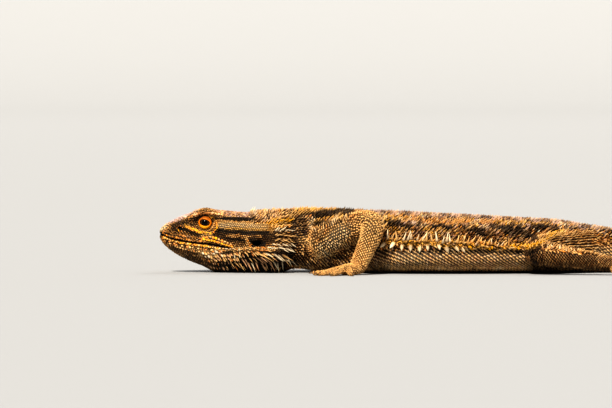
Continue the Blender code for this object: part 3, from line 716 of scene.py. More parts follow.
# %% Marks on the side of the body, as lines in the side view
MARKS = [  # tint, line, half width, strength, raggedness in mm
    # head
    ("silver", [(2.8, 23.9), (4, 24.7), (8, 26.8), (12, 28.4), (18, 30.6)], 1.0, 0.95, 0.3),
    ("umber", [(7, 23.6), (12, 25.2), (18, 26.8)], 1.3, 0.75, 0.8),
    ("black", [(11.8, 24.7), (14, 24.2), (16.4, 23.6)], 0.5, 0.9, 0.2),
    ("tan", [(17, 28.6), (20, 29.5), (24, 29.9), (28.5, 29.4), (31, 28.4)], 0.9, 1.0, 0.2),
    # painted shadow under the brow ridge (this mark and the next)
    ("black", [(15.5, 27.0), (18.5, 28.0), (22, 28.7), (27.5, 28.4)], 0.45, 0.9, 0.2),
    ("umber", [(17, 26.4), (20, 27.8), (27, 27.6)], 0.7, 0.7, 0.4),
    ("olive", [(6, 19.8), (12, 18.8), (21, 17.4)], 2.0, 0.85, 0.3),
    ("black", [(0, 19.3), (3.0, 18.6)], 1.1, 0.95, 0.2),
    ("white", [(0.2, 21.6), (2.2, 22.6)], 1.3, 0.95, 0.3),
    ("umber", [(7.6, 22.2), (11.4, 22.4)], 1.8, 0.8, 0.4),
    ("yellow", [(12.6, 23.4), (17, 21.5), (20.7, 20.1), (25.4, 19.6)], 0.75, 0.98, 0.2),
    ("black", [(10, 22.0), (12.5, 21.6), (16.3, 19.8), (21, 18.5), (28.8, 18.0)], 0.6, 0.95, 0.3),
    ("yellow", [(24.6, 28.2), (27.2, 26.8), (28.5, 24.6), (28.3, 22.2), (26.6, 20.4)], 0.55, 0.9, 0.2),
    ("cream", [(21.3, 18.0), (26, 17.9), (32.5, 15.8)], 0.8, 0.7, 0.5),
    ("yellow", [(21.5, 16.9), (27, 15.8), (31.5, 14.4), (36.5, 12.9)], 0.6, 0.98, 0.15),
    ("black", [(25, 16.9), (30, 15.3), (35, 13.8)], 0.35, 0.8, 0.1),
    ("black", [(24, 15.2), (29, 14.4), (34, 12.7)], 0.45, 0.9, 0.1),
    ("yellow", [(2.0, 17.3), (8, 15.2), (16, 13.8), (25, 12.9)], 0.7, 0.85, 0.4),
    ("black", [(3, 16.0), (9, 14.0), (17, 12.6), (26, 12.0), (34, 11.8)], 0.45, 0.85, 0.3),
    ("cream", [(8, 13.4), (16, 11.8), (24, 10.8)], 0.6, 0.75, 0.5),
    ("umber", [(8, 12.0), (14, 10.4), (22, 9.4)], 0.8, 0.75, 0.6),
    ("cream", [(21, 9.2), (27, 9.6), (33, 9.2), (40, 9.6)], 1.5, 0.8, 0.8),
    ("black", [(13, 6.6), (20, 4.8), (26, 3.0)], 2.2, 0.55, 1.0),
    ("cream", [(24, 10.6), (32.5, 11.4), (40, 12.3), (50, 12.4), (60, 12.0)], 0.8, 0.9, 0.4),
    ("grey", [(29, 28.2), (37, 28.2), (47, 28.0)], 1.3, 0.5, 0.6),
    ("umber", [(27, 26.2), (34, 26.3), (45, 25.9)], 1.4, 0.85, 0.4),
    ("black", [(28.6, 26.0), (36, 26.1), (46, 25.7)], 1.35, 1.0, 0.3),
    ("gold", [(29, 23.9), (38, 23.6), (47, 23.2), (58, 22.8)], 2.0, 0.95, 0.5),
    ("cream", [(30, 23.6), (40, 23.3), (52, 22.9)], 1.7, 1.0, 0.4),
    ("white", [(31, 23.4), (42, 23.2), (50, 22.8)], 0.9, 0.6, 0.8),
    ("yellow", [(33, 22.0), (44, 21.8), (57, 21.6)], 0.6, 0.8, 0.5),
    ("umber", [(29, 19.4), (38, 18.0), (48, 17.6), (58, 17.6)], 2.9, 0.95, 0.6),
    ("black", [(29, 20.8), (40, 20.2), (54, 20.2)], 0.9, 0.95, 0.6),
    ("black", [(36, 17.0), (43, 16.4)], 0.8, 0.9, 0.8),
    ("gold", [(33, 18.8), (42, 18.2), (50, 18.6)], 0.5, 0.75, 0.8),
    ("brown", [(34, 14.4), (42, 13.8), (54, 13.8)], 1.0, 0.5, 0.6),
    # painted shade in the ear opening
    ("black", [(45.5, 15.2), (51, 14.6)], 1.7, 0.98, 0.3),
    ("cream", [(43.0, 17.4), (43.9, 15.6), (44.2, 13.8)], 0.7, 0.9, 0.3),
    ("umber", [(58.5, 22.0), (62, 17.0), (65, 12.0)], 2.6, 0.75, 0.8),
    ("yellow", [(56, 24.6), (61, 24.6), (65, 26.4)], 2.2, 0.85, 0.8),
    # throat
    ("black", [(33, 6.0), (44, 5.2), (56, 6.0), (62, 8.0)], 4.8, 0.93, 1.0),
    ("black", [(30, 2.6), (40, 1.0), (60, 1.0)], 3.0, 0.9, 0.6),
    # neck and shoulder
    # painted shade in the neck fold
    ("black", [(66, 6), (66.4, 16), (65.8, 24)], 1.8, 0.85, 0.6),
    ("yellow", [(58, 24.2), (62.5, 25.8), (66.5, 28.8), (71, 30.6), (76, 31)], 1.5, 0.95, 0.5),
    ("black", [(66.5, 25), (70, 28.0), (76, 29.4)], 0.8, 0.75, 0.6),
    # painted shadow under the upper arm
    ("black", [(84, 8.2), (90, 7.6), (94, 8.8)], 1.0, 0.9, 0.4),
    ("black", [(68.5, 27.0), (72, 24.5), (71, 20)], 1.8, 0.75, 1.2),
    ("umber", [(70, 24), (71, 16), (71, 8)], 3.0, 0.7, 1.2),
    ("yellow", [(76, 30.6), (84, 31.2), (92, 32.0)], 0.9, 0.85, 0.6),
    ("black", [(77, 28.4), (86, 29.0), (95, 30.4)], 1.5, 0.95, 0.9),
    ("yellow", [(74, 24.6), (82, 26.4), (90, 27.6)], 0.8, 0.8, 0.6),
    ("black", [(76, 23.6), (83, 24.6), (90, 25.6)], 1.3, 0.9, 0.9),
    ("umber", [(70, 8), (82, 6)], 3.5, 0.5, 1.5),
    ("cream", [(71, 17), (76, 15), (80, 12)], 2.2, 0.8, 1.6),
    ("white", [(74.4, 22.6), (76.4, 26.4)], 0.8, 0.9, 0.4),
    ("white", [(86, 24.4), (88, 28)], 0.8, 0.9, 0.4),
    ("cream", [(79, 18.5), (82, 22.5)], 1.0, 0.8, 0.6),
    # the shoulder's pale flecks, painted lighter as well to stand in for light on this part, which faces
    # down (this mark and the next)
    ("cream", [(82, 11), (86, 16), (91, 20)], 5.4, 0.95, 1.2),
    ("white", [(82, 12), (87, 17), (91, 21)], 3.4, 0.8, 1.6),
    ("black", [(76, 21), (81, 17), (84, 11)], 0.8, 0.6, 1.0),
    # back and flank
    ("black", [(104, 27.5), (108, 26.6)], 1.3, 0.8, 0.8),
    ("umber", [(106, 20.6), (140, 19.6), (170, 18.4), (184, 17.2)], 3.6, 0.7, 1.6),
    ("black", [(112, 24.8), (118, 24.2)], 1.6, 0.9, 1.6),
    ("black", [(106, 22.0), (111, 21.0)], 1.1, 0.8, 1.2),
    ("black", [(121, 23.2), (124, 22.6)], 1.1, 0.8, 1.2),
    ("black", [(128, 24.2), (131, 23.8)], 1.1, 0.8, 1.2),
    ("black", [(137, 23.4), (143, 22.4)], 1.7, 0.92, 1.5),
    ("black", [(149, 23.2), (152, 22.6)], 1.2, 0.85, 1.2),
    ("black", [(154, 21.4), (160, 20.2)], 1.5, 0.85, 1.4),
    ("black", [(166, 23.4), (171, 22.0)], 1.5, 0.9, 2.0),
    ("black", [(174, 20.6), (182, 19.4), (186, 18.0)], 2.0, 0.85, 2.4),
    ("black", [(176, 23.6), (179, 23.2)], 1.2, 0.9, 1.2),
    ("black", [(186, 22.8), (193, 22.2)], 1.7, 0.92, 1.3),
    ("black", [(197, 20.8), (199, 20.4)], 1.0, 0.85, 0.9),
    ("umber", [(203, 19.0), (212, 17.0)], 1.2, 0.7, 1.6),
    ("yellow", [(105, 28.4), (112, 27.4), (122, 26.6)], 0.8, 0.7, 1.2),
    ("yellow", [(108, 23.2), (120, 21.2)], 0.7, 0.6, 1.4),
    ("gold", [(126, 26.2), (140, 25.2), (152, 24.8), (166, 25.2)], 1.0, 0.8, 1.3),
    ("yellow", [(130, 21.8), (142, 20.2), (150, 19.4)], 0.7, 0.6, 1.4),
    ("yellow", [(168, 25.0), (182, 24.4), (196, 24.2)], 0.8, 0.75, 1.2),
    ("yellow", [(106, 16.2), (130, 15.2), (150, 14.4), (166, 13.8), (182, 13.6)], 1.4, 0.8, 0.8),
    # painted shade in the groove under the fringe
    ("black", [(104, 12.4), (120, 12.0), (140, 11.6), (165, 10.9), (180, 10.7), (187, 12.0)],
     1.3, 0.85, 0.7),
    ("umber", [(96, 4.0), (110, 3.0), (128, 1.6)], 3.2, 0.6, 1.4),
    ("umber", [(98, 9.6), (116, 9.8)], 1.8, 0.5, 1.0),
    # hip and thigh
    ("gold", [(190, 18.0), (205, 18.6), (222, 16.0)], 2.4, 0.6, 1.6),
    ("umber", [(196, 17.2), (206, 16.2)], 1.0, 0.75, 1.2),
    ("yellow", [(180, 13.2), (185, 14.2), (190, 16.6), (195, 19.4), (200, 20.6)], 1.1, 0.95, 0.4),
    # painted shade in the gap in front of the knee
    ("black", [(184.5, 10.6), (186.0, 6.0), (186.5, 1.0)], 1.5, 0.85, 0.5),
    ("umber", [(188, 10.5), (200, 7.6), (222, 5.6)], 3.2, 0.6, 1.2),
    # painted shadow under the shin
    ("black", [(190, 3.0), (205, 1.6), (224, 1.6)], 2.4, 0.75, 0.8),
]
for number, at in enumerate(range(101, 226, 5)):
    top = section(at)[2]
    MARKS.append((("slate", "silver")[number % 2], [(at, top - 0.7), (at + 2.6, top - 1.0)], 1.3, 0.9, 0.8))
print(len(MARKS), "marks")

# %% One function for the colour of skin and scales


def mark_body(points, colour):
    """Paints the marks of head, neck and trunk over a base colour, and says how strongly they cover it."""
    wobble = speckle(points, 2.2, 3) - 0.5
    cover = np.zeros(len(points))
    for tint, line, width, strength, ragged in MARKS:
        low, high = np.min(line, axis=0) - width - 2, np.max(line, axis=0) + width + 2
        close = np.all((points[:, [0, 2]] > low) & (points[:, [0, 2]] < high), axis=1)
        off = off_line(points[close], line) + 2 * ragged * wobble[close]
        mask = strength * ease(off, width + 0.45, width - 0.3)
        colour[close] = mixed(colour[close], tint, mask)
        cover[close] = np.maximum(cover[close], mask)
    return colour, cover


def body_tint(points, at, arc, half_girth, fine, coarse):
    """The base colour of head, trunk and tail, under the marks."""
    height = points[:, 2]
    wide = np.abs(shares_of(points, at)[0])
    # trunk: tan back, gold-brown sides and a pinkish lower flank
    colour = mixed("tan", "gold", ease(coarse, 0.35, 0.6) * 0.6)
    colour = mixed(colour, "brown", ease(fine, 0.5, 0.72) * 0.7)
    flank = ease(height, 14.5, 11) * ease(at, 96, 106)
    colour = mixed(colour, mixed("white", "pink", coarse), flank)
    colour = mixed(colour, "brown", flank * ease(height, 4.5, 1.5) * 0.15)
    # blotches down the back in pairs, lilac on the outer edge of the top
    back = ease(wide, 0.80, 0.62) * ease(at, 48, 66)
    wave = np.cos(at * math.tau / 18.0 + 1.4 * (coarse - 0.5)) + 1.5 * (fine - 0.5)
    colour = mixed(colour, "lilac", back * ease(wave, -0.1, 0.5) * 0.8)
    colour = mixed(colour, "umber", back * ease(wave, -0.35, -0.8) * ease(arc, 4, 9) * 0.75)
    spots = ease(speckle(points, 3, 6), 0.4, 0.7)
    colour = mixed(colour, "cream", back * ease(arc, 5.0, 2.5) * spots * 0.6)
    # head: olive sides with yellow grains, pale plates on top
    head = ease(at, 60, 50)
    grain = mixed("olive", "gold", ease(speckle(points, 1.1, 4), 0.45, 0.75))
    colour = mixed(colour, mixed(grain, "umber", ease(coarse, 0.5, 0.75) * 0.6), head)
    colour = mixed(colour, "olive", ease(at, 46, 34) * ease(height, 13, 10) * 0.6)
    crown = head * ease(wide, 0.80, 0.62) * ease(height - section(at)[1], 4, 8)
    top = mixed("pale", "lilac", ease(coarse, 0.4, 0.6) * 0.8)
    colour = mixed(colour, mixed(top, "brown", ease(fine, 0.55, 0.75) * 0.5), crown)
    # tail: bands that fade towards the tip
    band = ease(np.cos((at - 236) * math.tau / 15.0 + 0.8 * (coarse - 0.5)), 0.1, 0.7)
    ring = mixed("tan", "pink", coarse)
    ring = mixed(ring, "umber", band * ease(arc, half_girth * 0.75, half_girth * 0.45) * 0.75)
    colour = mixed(colour, ring, ease(at, 228, 246))
    belly = ease(arc / half_girth, 0.80, 0.92) * ease(at, 60, 80)
    return mixed(colour, "pink", belly * 0.6)


def markings(points, region):
    """The colour of each point, in linear red, green and blue, and how strongly marks cover it."""
    at, arc, half_girth = body_place(points)
    height = points[:, 2]
    fine, coarse = speckle(points, 1.5, 1), speckle(points, 5.0, 2)
    colour = body_tint(points, at, np.abs(arc), half_girth, fine, coarse)
    front, hind, foot = IS_FRONT[region], IS_HIND[region], IS_FOOT[region]
    # limbs: golden tan in front, browner behind, painted shade darkening the shank towards the floor, gold
    # on hands and feet
    for limb, base, other, share in ((front, "cream", "gold", 0.5), (hind, "brown", "tan", 0.4)):
        paint = mixed(base, other, share * ease(coarse, 0.35, 0.7))
        colour[limb] = mixed(paint, "brown", ease(fine, 0.5, 0.8) * 0.55)[limb]
    upper = front & (at < 99) & (height > 8)
    colour[upper] = mixed(colour[upper], "tan", 0.4)
    thigh = hind & (height > 7.5)
    colour[thigh] = mixed(colour[thigh], "tan", 0.45 * ease(height[thigh], 8, 12))
    # painted shade on the hind leg near the floor
    shank = hind & (height < 4.5)
    colour[shank] = mixed(colour[shank], "black", 0.35 * ease(height[shank], 4.5, 1.5))
    colour[foot] = mixed(colour[foot], (TINTS["cream"] + TINTS["gold"]) / 2, 0.85)
    marked = (region == 0) | (~foot & (hind | (at < 95)))
    cover = np.zeros(len(points))
    colour[marked], cover[marked] = mark_body(points[marked], colour[marked])
    return colour, cover


print("markings ready")

# %% Paint the skin
# Painted shade: the skin between the scales lies in their shadow, so its colour is the markings times this
# share.
CREVICE_SHADE = 0.12  # the skin between the scales is this much darker than they are


def lid_paint(points, colour):
    """The orange ring of the lids, with painted shade as a dark edge at the opening and a dark groove
    outside.
    """
    blur = ease(speckle(points, 0.9, 9), 0.35, 0.8)
    for side in (-1, 1):
        local, axes, centre = eye_plane(points, side)
        up = local[:, 1]
        near = (local[:, 2] > 0.5) & (np.abs(local[:, :2]).max(axis=1) < 6)
        rim, opening = rim_of(local), opening_of(local)
        # painted shade in the groove round the lids
        colour = mixed(colour, "black", ease(rim, 1.42, 1.22) * near * 0.85)
        glow = mixed("orange", "yellow", ease(up, -0.6, -2.4) * 0.8)
        glow = mixed(glow, "brown", blur * 0.4 + 0.4 * ease(up, 0.5, 2.2))
        colour = mixed(colour, glow, ease(rim, 1.06, 0.98) * near)
        # painted shade where the lids meet the eyeball
        colour = mixed(colour, "black", ease(opening, 1.10, 1.02) * near)
    return colour


def paint_mesh(mesh, colour):
    layer = mesh.color_attributes.new("colour", "FLOAT_COLOR", "POINT")
    layer.data.foreach_set("color", np.column_stack([np.clip(colour, 0, 1), np.ones(len(colour))]).ravel())


# The skin is painted darker than the scales as shade in the crevices, and darker still in the nostril pits
# and the mouth's crease.
paint = markings(P, region)[0] * CREVICE_SHADE
# painted shade inside the nostril pits and along the crease of the mouth
paint = mixed(paint, TINTS["black"] * 0.5, sides * ease(off_nostril(P), 1.0, 0.6) * (P[:, 0] < 20))
paint = mixed(paint, "black", sides * ease(off_line(P, MOUTH), 0.5, 0.2) * 0.8)
paint_mesh(skin.data, lid_paint(P, paint))
hide = Paint("scaly_skin", Roughness=0.65, Specular_IOR_Level=0.2)
hide.feed("Base Color", hide.attribute("colour"))
cells = hide.node("ShaderNodeTexVoronoi", {}, {"Vector": hide.place(), "Scale": 1500.0})
hide.feed("Normal", hide.node("ShaderNodeBump", {}, {"Height": cells, "Strength": 0.35, "Distance": 0.0002}))
skin.data.materials.append(hide.material)
print("skin painted")

# %% [markdown]
# ## Scale shapes
# A lizard's scale is a plate of horn that grows from its front edge and ends in a free rear edge, often
# with a keel. Each kind is modelled once from a cone or a cube with a few dozen faces at most. Flat faces
# suit it, as horn glints.

# %% The shapes: keeled scale, thorny scale, plate, tile, bead and spine


def cone(radius1, radius2, lying=False):
    """A six-sided cone that stands on the floor, or lies along +X."""
    bm = bmesh.new()
    bmesh.ops.create_cone(bm, segments=6, cap_ends=True, radius1=radius1, radius2=radius2, depth=1.0)
    if lying:
        bmesh.ops.rotate(bm, verts=bm.verts, cent=(0, 0, 0), matrix=Matrix.Rotation(math.pi / 2, 3, "Y"))
    bmesh.ops.translate(bm, verts=bm.verts, vec=(0.5, 0, 0) if lying else (0, 0, 0.5))
    return bm


def shape_of(bm):
    """A little mesh as arrays: its points, its triangles, and how near to the tip each point is."""
    bmesh.ops.triangulate(bm, faces=bm.faces)
    bmesh.ops.recalc_face_normals(bm, faces=bm.faces)
    bm.verts.index_update()
    points = np.array([v.co for v in bm.verts])
    faces = np.array([[v.index for v in f.verts] for f in bm.faces])
    bm.free()
    return points, faces, (points - points.min(axis=0)) / np.ptp(points, axis=0)


def ridged_scale(peak, lift_rear):
    """Grows along +X on Z = 0, with its highest point at peak. The rear may be lifted into a keel's end."""
    bm = cone(0.5, 0.05)
    bmesh.ops.pointmerge(bm, verts=[v for v in bm.verts if v.co.z > 0.5], merge_co=(peak, 0, 1.0))
    rear = [v for v in bm.verts if v.co.x > 0.4 and v.co.z < 0.5]
    bmesh.ops.translate(bm, verts=rear, vec=(0.6 * lift_rear, 0, lift_rear))
    return shape_of(bm)


def plate():
    bm = cone(0.55, 0.34)
    bmesh.ops.translate(bm, verts=[v for v in bm.verts if v.co.z > 0.5], vec=(0.05, 0, 0))
    return shape_of(bm)


def tile():
    """A long scale like a low roof, with its ridge rising to the rear; rows of them read as lines."""
    bm = bmesh.new()
    bmesh.ops.create_cube(bm, size=1.0)
    bmesh.ops.translate(bm, verts=bm.verts, vec=(0, 0, 0.5))
    for vert in bm.verts:
        if vert.co.z > 0.5:
            vert.co = (vert.co.x * 0.84 + 0.08, 0, 0.72 + 0.56 * vert.co.x)
    bmesh.ops.remove_doubles(bm, verts=bm.verts, dist=1e-4)
    return shape_of(bm)


def bead():
    """A rounded lip plate."""
    bm = bmesh.new()
    bmesh.ops.create_cube(bm, size=1.0)
    bmesh.ops.bevel(bm, geom=bm.edges, offset=0.27, segments=1, profile=0.5, affect="EDGES", material=-1)
    return shape_of(bm)


def spine(bend=0.25, waist=0.8):
    """A slender curved spine along +X, thickest a little above its root."""
    bm = cone(0.42, 0.03, lying=True)
    for cut in (0.22, 0.6):
        geom = bm.verts[:] + bm.edges[:] + bm.faces[:]
        bmesh.ops.bisect_plane(bm, geom=geom, dist=1e-5, plane_co=(cut, 0, 0), plane_no=(1, 0, 0))
    for vert in bm.verts:
        x = vert.co.x
        wide = 1.45 if 0.1 < x < 0.4 else 1.35 * waist if 0.4 < x < 0.8 else 1.0
        vert.co.y *= wide
        vert.co.z = vert.co.z * wide + bend * x * x
    return shape_of(bm)


KEELED, THORN = ridged_scale(0.32, 0.30), ridged_scale(0.80, 0.0)
PLATE, TILE, BEAD = plate(), tile(), bead()
SPINE, LEAF = spine(), spine(0.1, 1.5)
print("triangles of each shape", [len(shape[1]) for shape in (KEELED, THORN, PLATE, TILE, BEAD, SPINE)])

# %% [markdown]
# ## Planting scales
# Forty thousand separate objects would be slow, so the copies of a shape are written straight into one mesh
# from arrays. Every scale gets a dark root, painted shade where it sinks between its neighbours, and a pale
# tip, a painted highlight, and a small patch of its own on an unrolled map of the skin.

# %% Plant copies of a shape as one mesh
horn = Paint("scale_horn", Roughness=0.5, Specular_IOR_Level=0.22)
grain = horn.cloud(900.0, 2.0)
worn = grain.step(0.35, 0.75) * 0.25
horn.feed("Base Color", horn.mix(worn, horn.attribute("colour"), (0.02, 0.013, 0.008, 1)))
horn.feed("Roughness", grain * 0.25 + 0.38)
PATCH, MAP_EDGE = 0.003, 0.02
LOWEST = 0.06
COUNTS = {}


def unit(vectors):
    return vectors / np.maximum(np.linalg.norm(vectors, axis=1), 1e-9)[:, None]


def laid(ways, up):
    """Directions turned so that they lie along the skin."""
    return unit(ways - up * np.sum(ways * up, axis=1)[:, None])


def patches(spot, tip, corners):
    """A map with a small patch for each copy, at its root's place on the unrolled skin."""
    spot = (spot - spot.min(axis=0)) / np.maximum(np.ptp(spot, axis=0), 1e-6)
    spot = spot * (1 - 2 * MAP_EDGE) + MAP_EDGE
    patch = spot[:, None, :] + (tip[None, :, :2] - 0.5) * PATCH
    return patch.reshape(-1, 2)[corners].astype(np.float32).ravel()


def plant(name, slot, shape, roots, ahead, up, size, root_tint, tip_tint, spot, along=0, bias=0.8):
    """Copies of a shape. size is length, width and height in mm; spot is the place on the unrolled map. The
    tint runs from root to tip along the length (0) or the height (2); a low bias spreads the tip's tint."""
    points, faces, tip = shape
    n, k = len(roots), len(points)
    across = unit(np.cross(up, ahead))
    size = np.asarray(size, float)
    axes = [ahead * size[:, :1], across * size[:, 1:2], np.cross(ahead, across) * size[:, 2:]]
    verts = roots[:, None, :] + np.einsum("kj,njc->nkc", points, np.stack(axes, axis=1))
    verts[:, :, 2] = np.maximum(verts[:, :, 2], LOWEST)
    share = tip[None, :, along, None] ** bias
    tints = root_tint[:, None, :] * (1 - share) + tip_tint[:, None, :] * share
    corners = (faces[None] + (np.arange(n) * k)[:, None, None]).ravel()
    mesh = bpy.data.meshes.new(name)
    mesh.vertices.add(n * k)
    mesh.vertices.foreach_set("co", metres(verts.reshape(-1, 3)).astype(np.float32).ravel())
    mesh.loops.add(len(corners))
    mesh.loops.foreach_set("vertex_index", corners.astype(np.int32))
    mesh.polygons.add(n * len(faces))
    mesh.polygons.foreach_set("loop_start", np.arange(0, len(corners), 3, dtype=np.int32))
    mesh.update(calc_edges=True)
    paint_mesh(mesh, tints.reshape(-1, 3))
    mesh.uv_layers.new(name="OFBake").data.foreach_set("uv", patches(spot, tip, corners))
    mesh.materials.append(horn.material)
    obj = bpy.data.objects.new(name, mesh)
    bpy.context.scene.collection.objects.link(obj)
    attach(obj, "root")
    COUNTS[name] = (n, n * len(faces))
    return obj


print("patches", PATCH, "wide on the map")

# %% [markdown]
# ## Rows of scales
# Scales sit in staggered rows, like roof tiles. Each region of skin is unrolled flat: its own length and
# girth give two numbers, a staggered grid is laid over them, and each knot of the grid in a triangle is a
# root.

# %% Unroll the skin and find the roots
skin_faces = np.array([p.vertices[:] for p in skin.data.polygons])
face_region = region[skin_faces[:, 0]]
MAX_SPAN = 8


def knots(u, v, faces):
    """Knots of a staggered grid inside triangles: the triangle of each and the weights of its corners."""
    U, V = u[faces], v[faces]
    area = (U[:, 1] - U[:, 0]) * (V[:, 2] - V[:, 0]) - (U[:, 2] - U[:, 0]) * (V[:, 1] - V[:, 0])
    fair = (np.abs(area) > 1e-6) & (np.ptp(U, axis=1) < MAX_SPAN) & (np.ptp(V, axis=1) < MAX_SPAN)
    found, weights = [], []
    for dj in range(MAX_SPAN):
        row = np.ceil(V.min(axis=1)) + dj
        shift = 0.5 * (row % 2)
        for di in range(MAX_SPAN):
            x = np.ceil(U.min(axis=1) - shift) + di + shift
            k = np.nonzero(fair & (row <= V.max(axis=1)) & (x <= U.max(axis=1)))[0]
            if not len(k):
                break
            a, b, c = ((U[k, i], V[k, i]) for i in range(3))
            w1 = ((x[k] - a[0]) * (c[1] - a[1]) - (c[0] - a[0]) * (row[k] - a[1])) / area[k]
            w2 = ((b[0] - a[0]) * (row[k] - a[1]) - (x[k] - a[0]) * (b[1] - a[1])) / area[k]
            w0 = 1 - w1 - w2
            inside = (w0 >= 0) & (w1 >= 0) & (w2 > 0)
            found.append(k[inside])
            weights.append(np.column_stack([w0, w1, w2])[inside])
    return np.concatenate(found), np.vstack(weights)


def body_frame():
    """Along and round the body, and the way to the tail, of each point of the skin."""
    at, arc, half_girth = body_place(P)
    bend = (tail_offset(at + 1) - tail_offset(at - 1)) / 2
    return at, arc, unit(np.column_stack([np.ones(len(P)), bend, np.zeros(len(P))]))


def limb_frame(name):
    """Along the limb, the angle round it, the way to its end, and its mean radius."""
    route, reference = ROUTES[name]
    found = along_route(P, route)
    along, way, off = found[:, 1], found[:, 3:6], P - found[:, 6:9]
    e1 = unit(reference - way * (way @ reference)[:, None])
    e2 = np.cross(way, e1)
    turn = np.arctan2(np.sum(off * e2, axis=1), np.sum(off * e1, axis=1))
    return along, turn, way, float(route[:, 3].mean())


class Roots:
    """Where scales grow, with what each needs to be planted."""

    KEPT = ("points", "up", "ahead", "region", "place", "tint", "cover")

    def __init__(self, points, up, ahead, region, place, pitch, seed):
        self.points, self.up, self.region, self.place, self.pitch = points, up, region, place, pitch
        self.ahead = laid(ahead, up)
        self.tint, self.cover = markings(points, region)
        self.rng = np.random.default_rng(seed)

    def take(self, chosen):
        for key in self.KEPT:
            setattr(self, key, getattr(self, key)[chosen])

    def random(self, low=0.0, high=1.0):
        return self.rng.uniform(low, high, len(self.points))


AT, ARC, TAILWARD = body_frame()
print("skin unrolled,", len(skin_faces), "faces")

# %% Rows of roots on a region


def rows_of(name, keep, pitch, lean=0.0, seed=1, stray=0.0):
    """Roots in staggered rows. pitch: spacing along and across in mm; lean: the rows' slant in degrees;
    stray: how far a root may stray from its knot, in spacings."""
    k = REGIONS.index(name)
    faces = skin_faces[(face_region == k) & keep[skin_faces[:, 0]]]
    wrap = np.zeros(len(faces), bool)
    if name == "body":
        at, q, way = AT, np.abs(ARC) if lean else ARC, TAILWARD
        growth = np.where(ARC < 0, -1.0, 1.0) if lean else np.ones(len(P))
    else:
        at, turn, way, radius = limb_frame(name)
        rows = 2 * round(math.pi * radius / pitch[1])  # an even number closes the rows round the limb
        q = turn / math.tau * rows * pitch[1]
        growth = -np.ones(len(P))
        wrap = np.ptp(turn[faces], axis=1) > math.pi
    a = math.radians(lean)
    u = (at * math.cos(a) + q * math.sin(a)) / pitch[0]
    v = (q * math.cos(a) - at * math.sin(a)) / pitch[1]
    found, weights = knots(u, v, faces[~wrap])
    corners = faces[~wrap][found]
    if wrap.any() and not lean:
        found, more = knots(u, np.where(v < 0, v + rows, v), faces[wrap])
        corners, weights = np.vstack([corners, faces[wrap][found]]), np.vstack([weights, more])

    def read(values):
        return np.einsum("nk,nk...->n...", weights, values[corners])

    up = unit(read(N))
    way = laid(read(way), up)
    out = np.cross(up, way) * read(growth)[:, None]  # the way in which q grows
    place = np.column_stack([read(at), read(q)])
    shift = np.random.default_rng(seed + 50).uniform(-stray, stray, (2, len(up), 1))
    spots = read(P) + shift[0] * pitch[0] * way + shift[1] * pitch[1] * out
    ahead = way * math.cos(a) + out * math.sin(a)
    return Roots(spots, up, ahead, np.full(len(up), k), place, pitch, seed)


def joined(parts):
    """Several groups of roots as one, with their unrolled maps side by side."""
    shift = 0.0
    for part in parts:
        part.place[:, 1] += shift - part.place[:, 1].min()
        shift = part.place[:, 1].max() + 3.0
    for key in Roots.KEPT:
        setattr(parts[0], key, np.concatenate([getattr(part, key) for part in parts]))
    return parts[0]


print("rows can grow on", len(REGIONS), "regions")

# %% Scales on rows of roots
ROOTS = []


def scales(name, slot, shape, rows, size, lift=12.0, dark=0.12, light=0.55, glow="cream", vary=0.3,
           mottle="", share=0.6, clump=1.7, bias=0.8):
    """Plants scales. size: length and width in row spacings, height in mm. lift: degrees off the skin. dark
    and light: the tint's share at the root, and the glow's at the tip. mottle: tints that clumps take."""
    if mottle:
        palette = np.array([TINTS[tint] for tint in mottle.split()])
        pick = (clumps(rows.points, clump, 11) * 0.999 * len(palette)).astype(int)
        bright = np.clip(rows.tint.mean(axis=1) * 6.0, 0.15, 1.0)
        share = share * bright * (1 - 0.65 * rows.cover) * rows.random(0.55, 1.2)
        rows.tint = mixed(rows.tint, palette[pick], share)
    grow = rows.random(0.86, 1.14)
    lifts = np.radians(lift + rows.random(-5, 5))
    ahead = rows.ahead * np.cos(lifts)[:, None] + rows.up * np.sin(lifts)[:, None]
    ahead = unit(ahead + np.cross(rows.up, ahead) * rows.random(-0.12, 0.12)[:, None])
    sizes = np.array([size[0] * rows.pitch[0], size[1] * rows.pitch[1], size[2]]) * grow[:, None]
    tone = rows.random(1 - vary, 1 + 0.7 * vary)[:, None]
    # Painted light on each scale: the tip is mixed towards the glow tint as a painted highlight, and the
    # root takes the tint times dark as painted shade between the scales.
    glint = light * rows.random(0.2, 1.0) * np.clip(rows.tint.mean(axis=1) * 4.0, 0.08, 1.0)
    tip = mixed(rows.tint * tone, glow, glint)
    ROOTS.append(rows.points)
    plant(name, slot, shape, rows.points - rows.up * 0.12, ahead, rows.up, sizes, rows.tint * tone * dark,
          tip, rows.place, 0 if shape is SPINE else 2, bias)


print("pieces so far", len(COUNTS))

# %% [markdown]
# ## Scales from snout to tail
# The scales change along the animal: grains on the cheeks, flat plates on the crown, thorny scales on neck,
# back and tail. On the lower flank they are long tiles in rows that slant down towards the tail, so the
# grid is turned there.

# %% Scales of the head
THROAT_AT, THROAT_TOP = [0, 10, 25, 36, 52, 66], [16.8, 14, 11.5, 11.8, 12.4, 9]


def clear_of_face(points):
    """False where an eye, a nostril, an ear opening, the lips or the mouth leave no room for scales."""
    beside = np.abs(points[:, 1])
    clear = (off_nostril(points) > 1.25) | (beside < 3)
    clear &= (off_ear(points) > 0.95) | (beside < 10)
    clear &= (off_line(points, MOUTH) > 0.75) | (points[:, 0] > 36)
    for side in (-1, 1):
        local, axes, centre = eye_plane(points, side)
        clear &= (rim_of(local) > 1.16) | (local[:, 2] < 0)
    return clear


def coat(name, slot, shape, keep, pitch, size, lean=0.0, seed=1, stray=0.0, **looks):
    """Scales in rows on part of the body, wherever the face leaves room."""
    rows = rows_of("body", keep, pitch, lean, seed, stray)
    rows.take(clear_of_face(rows.points))
    scales(name, slot, shape, rows, size, **looks)


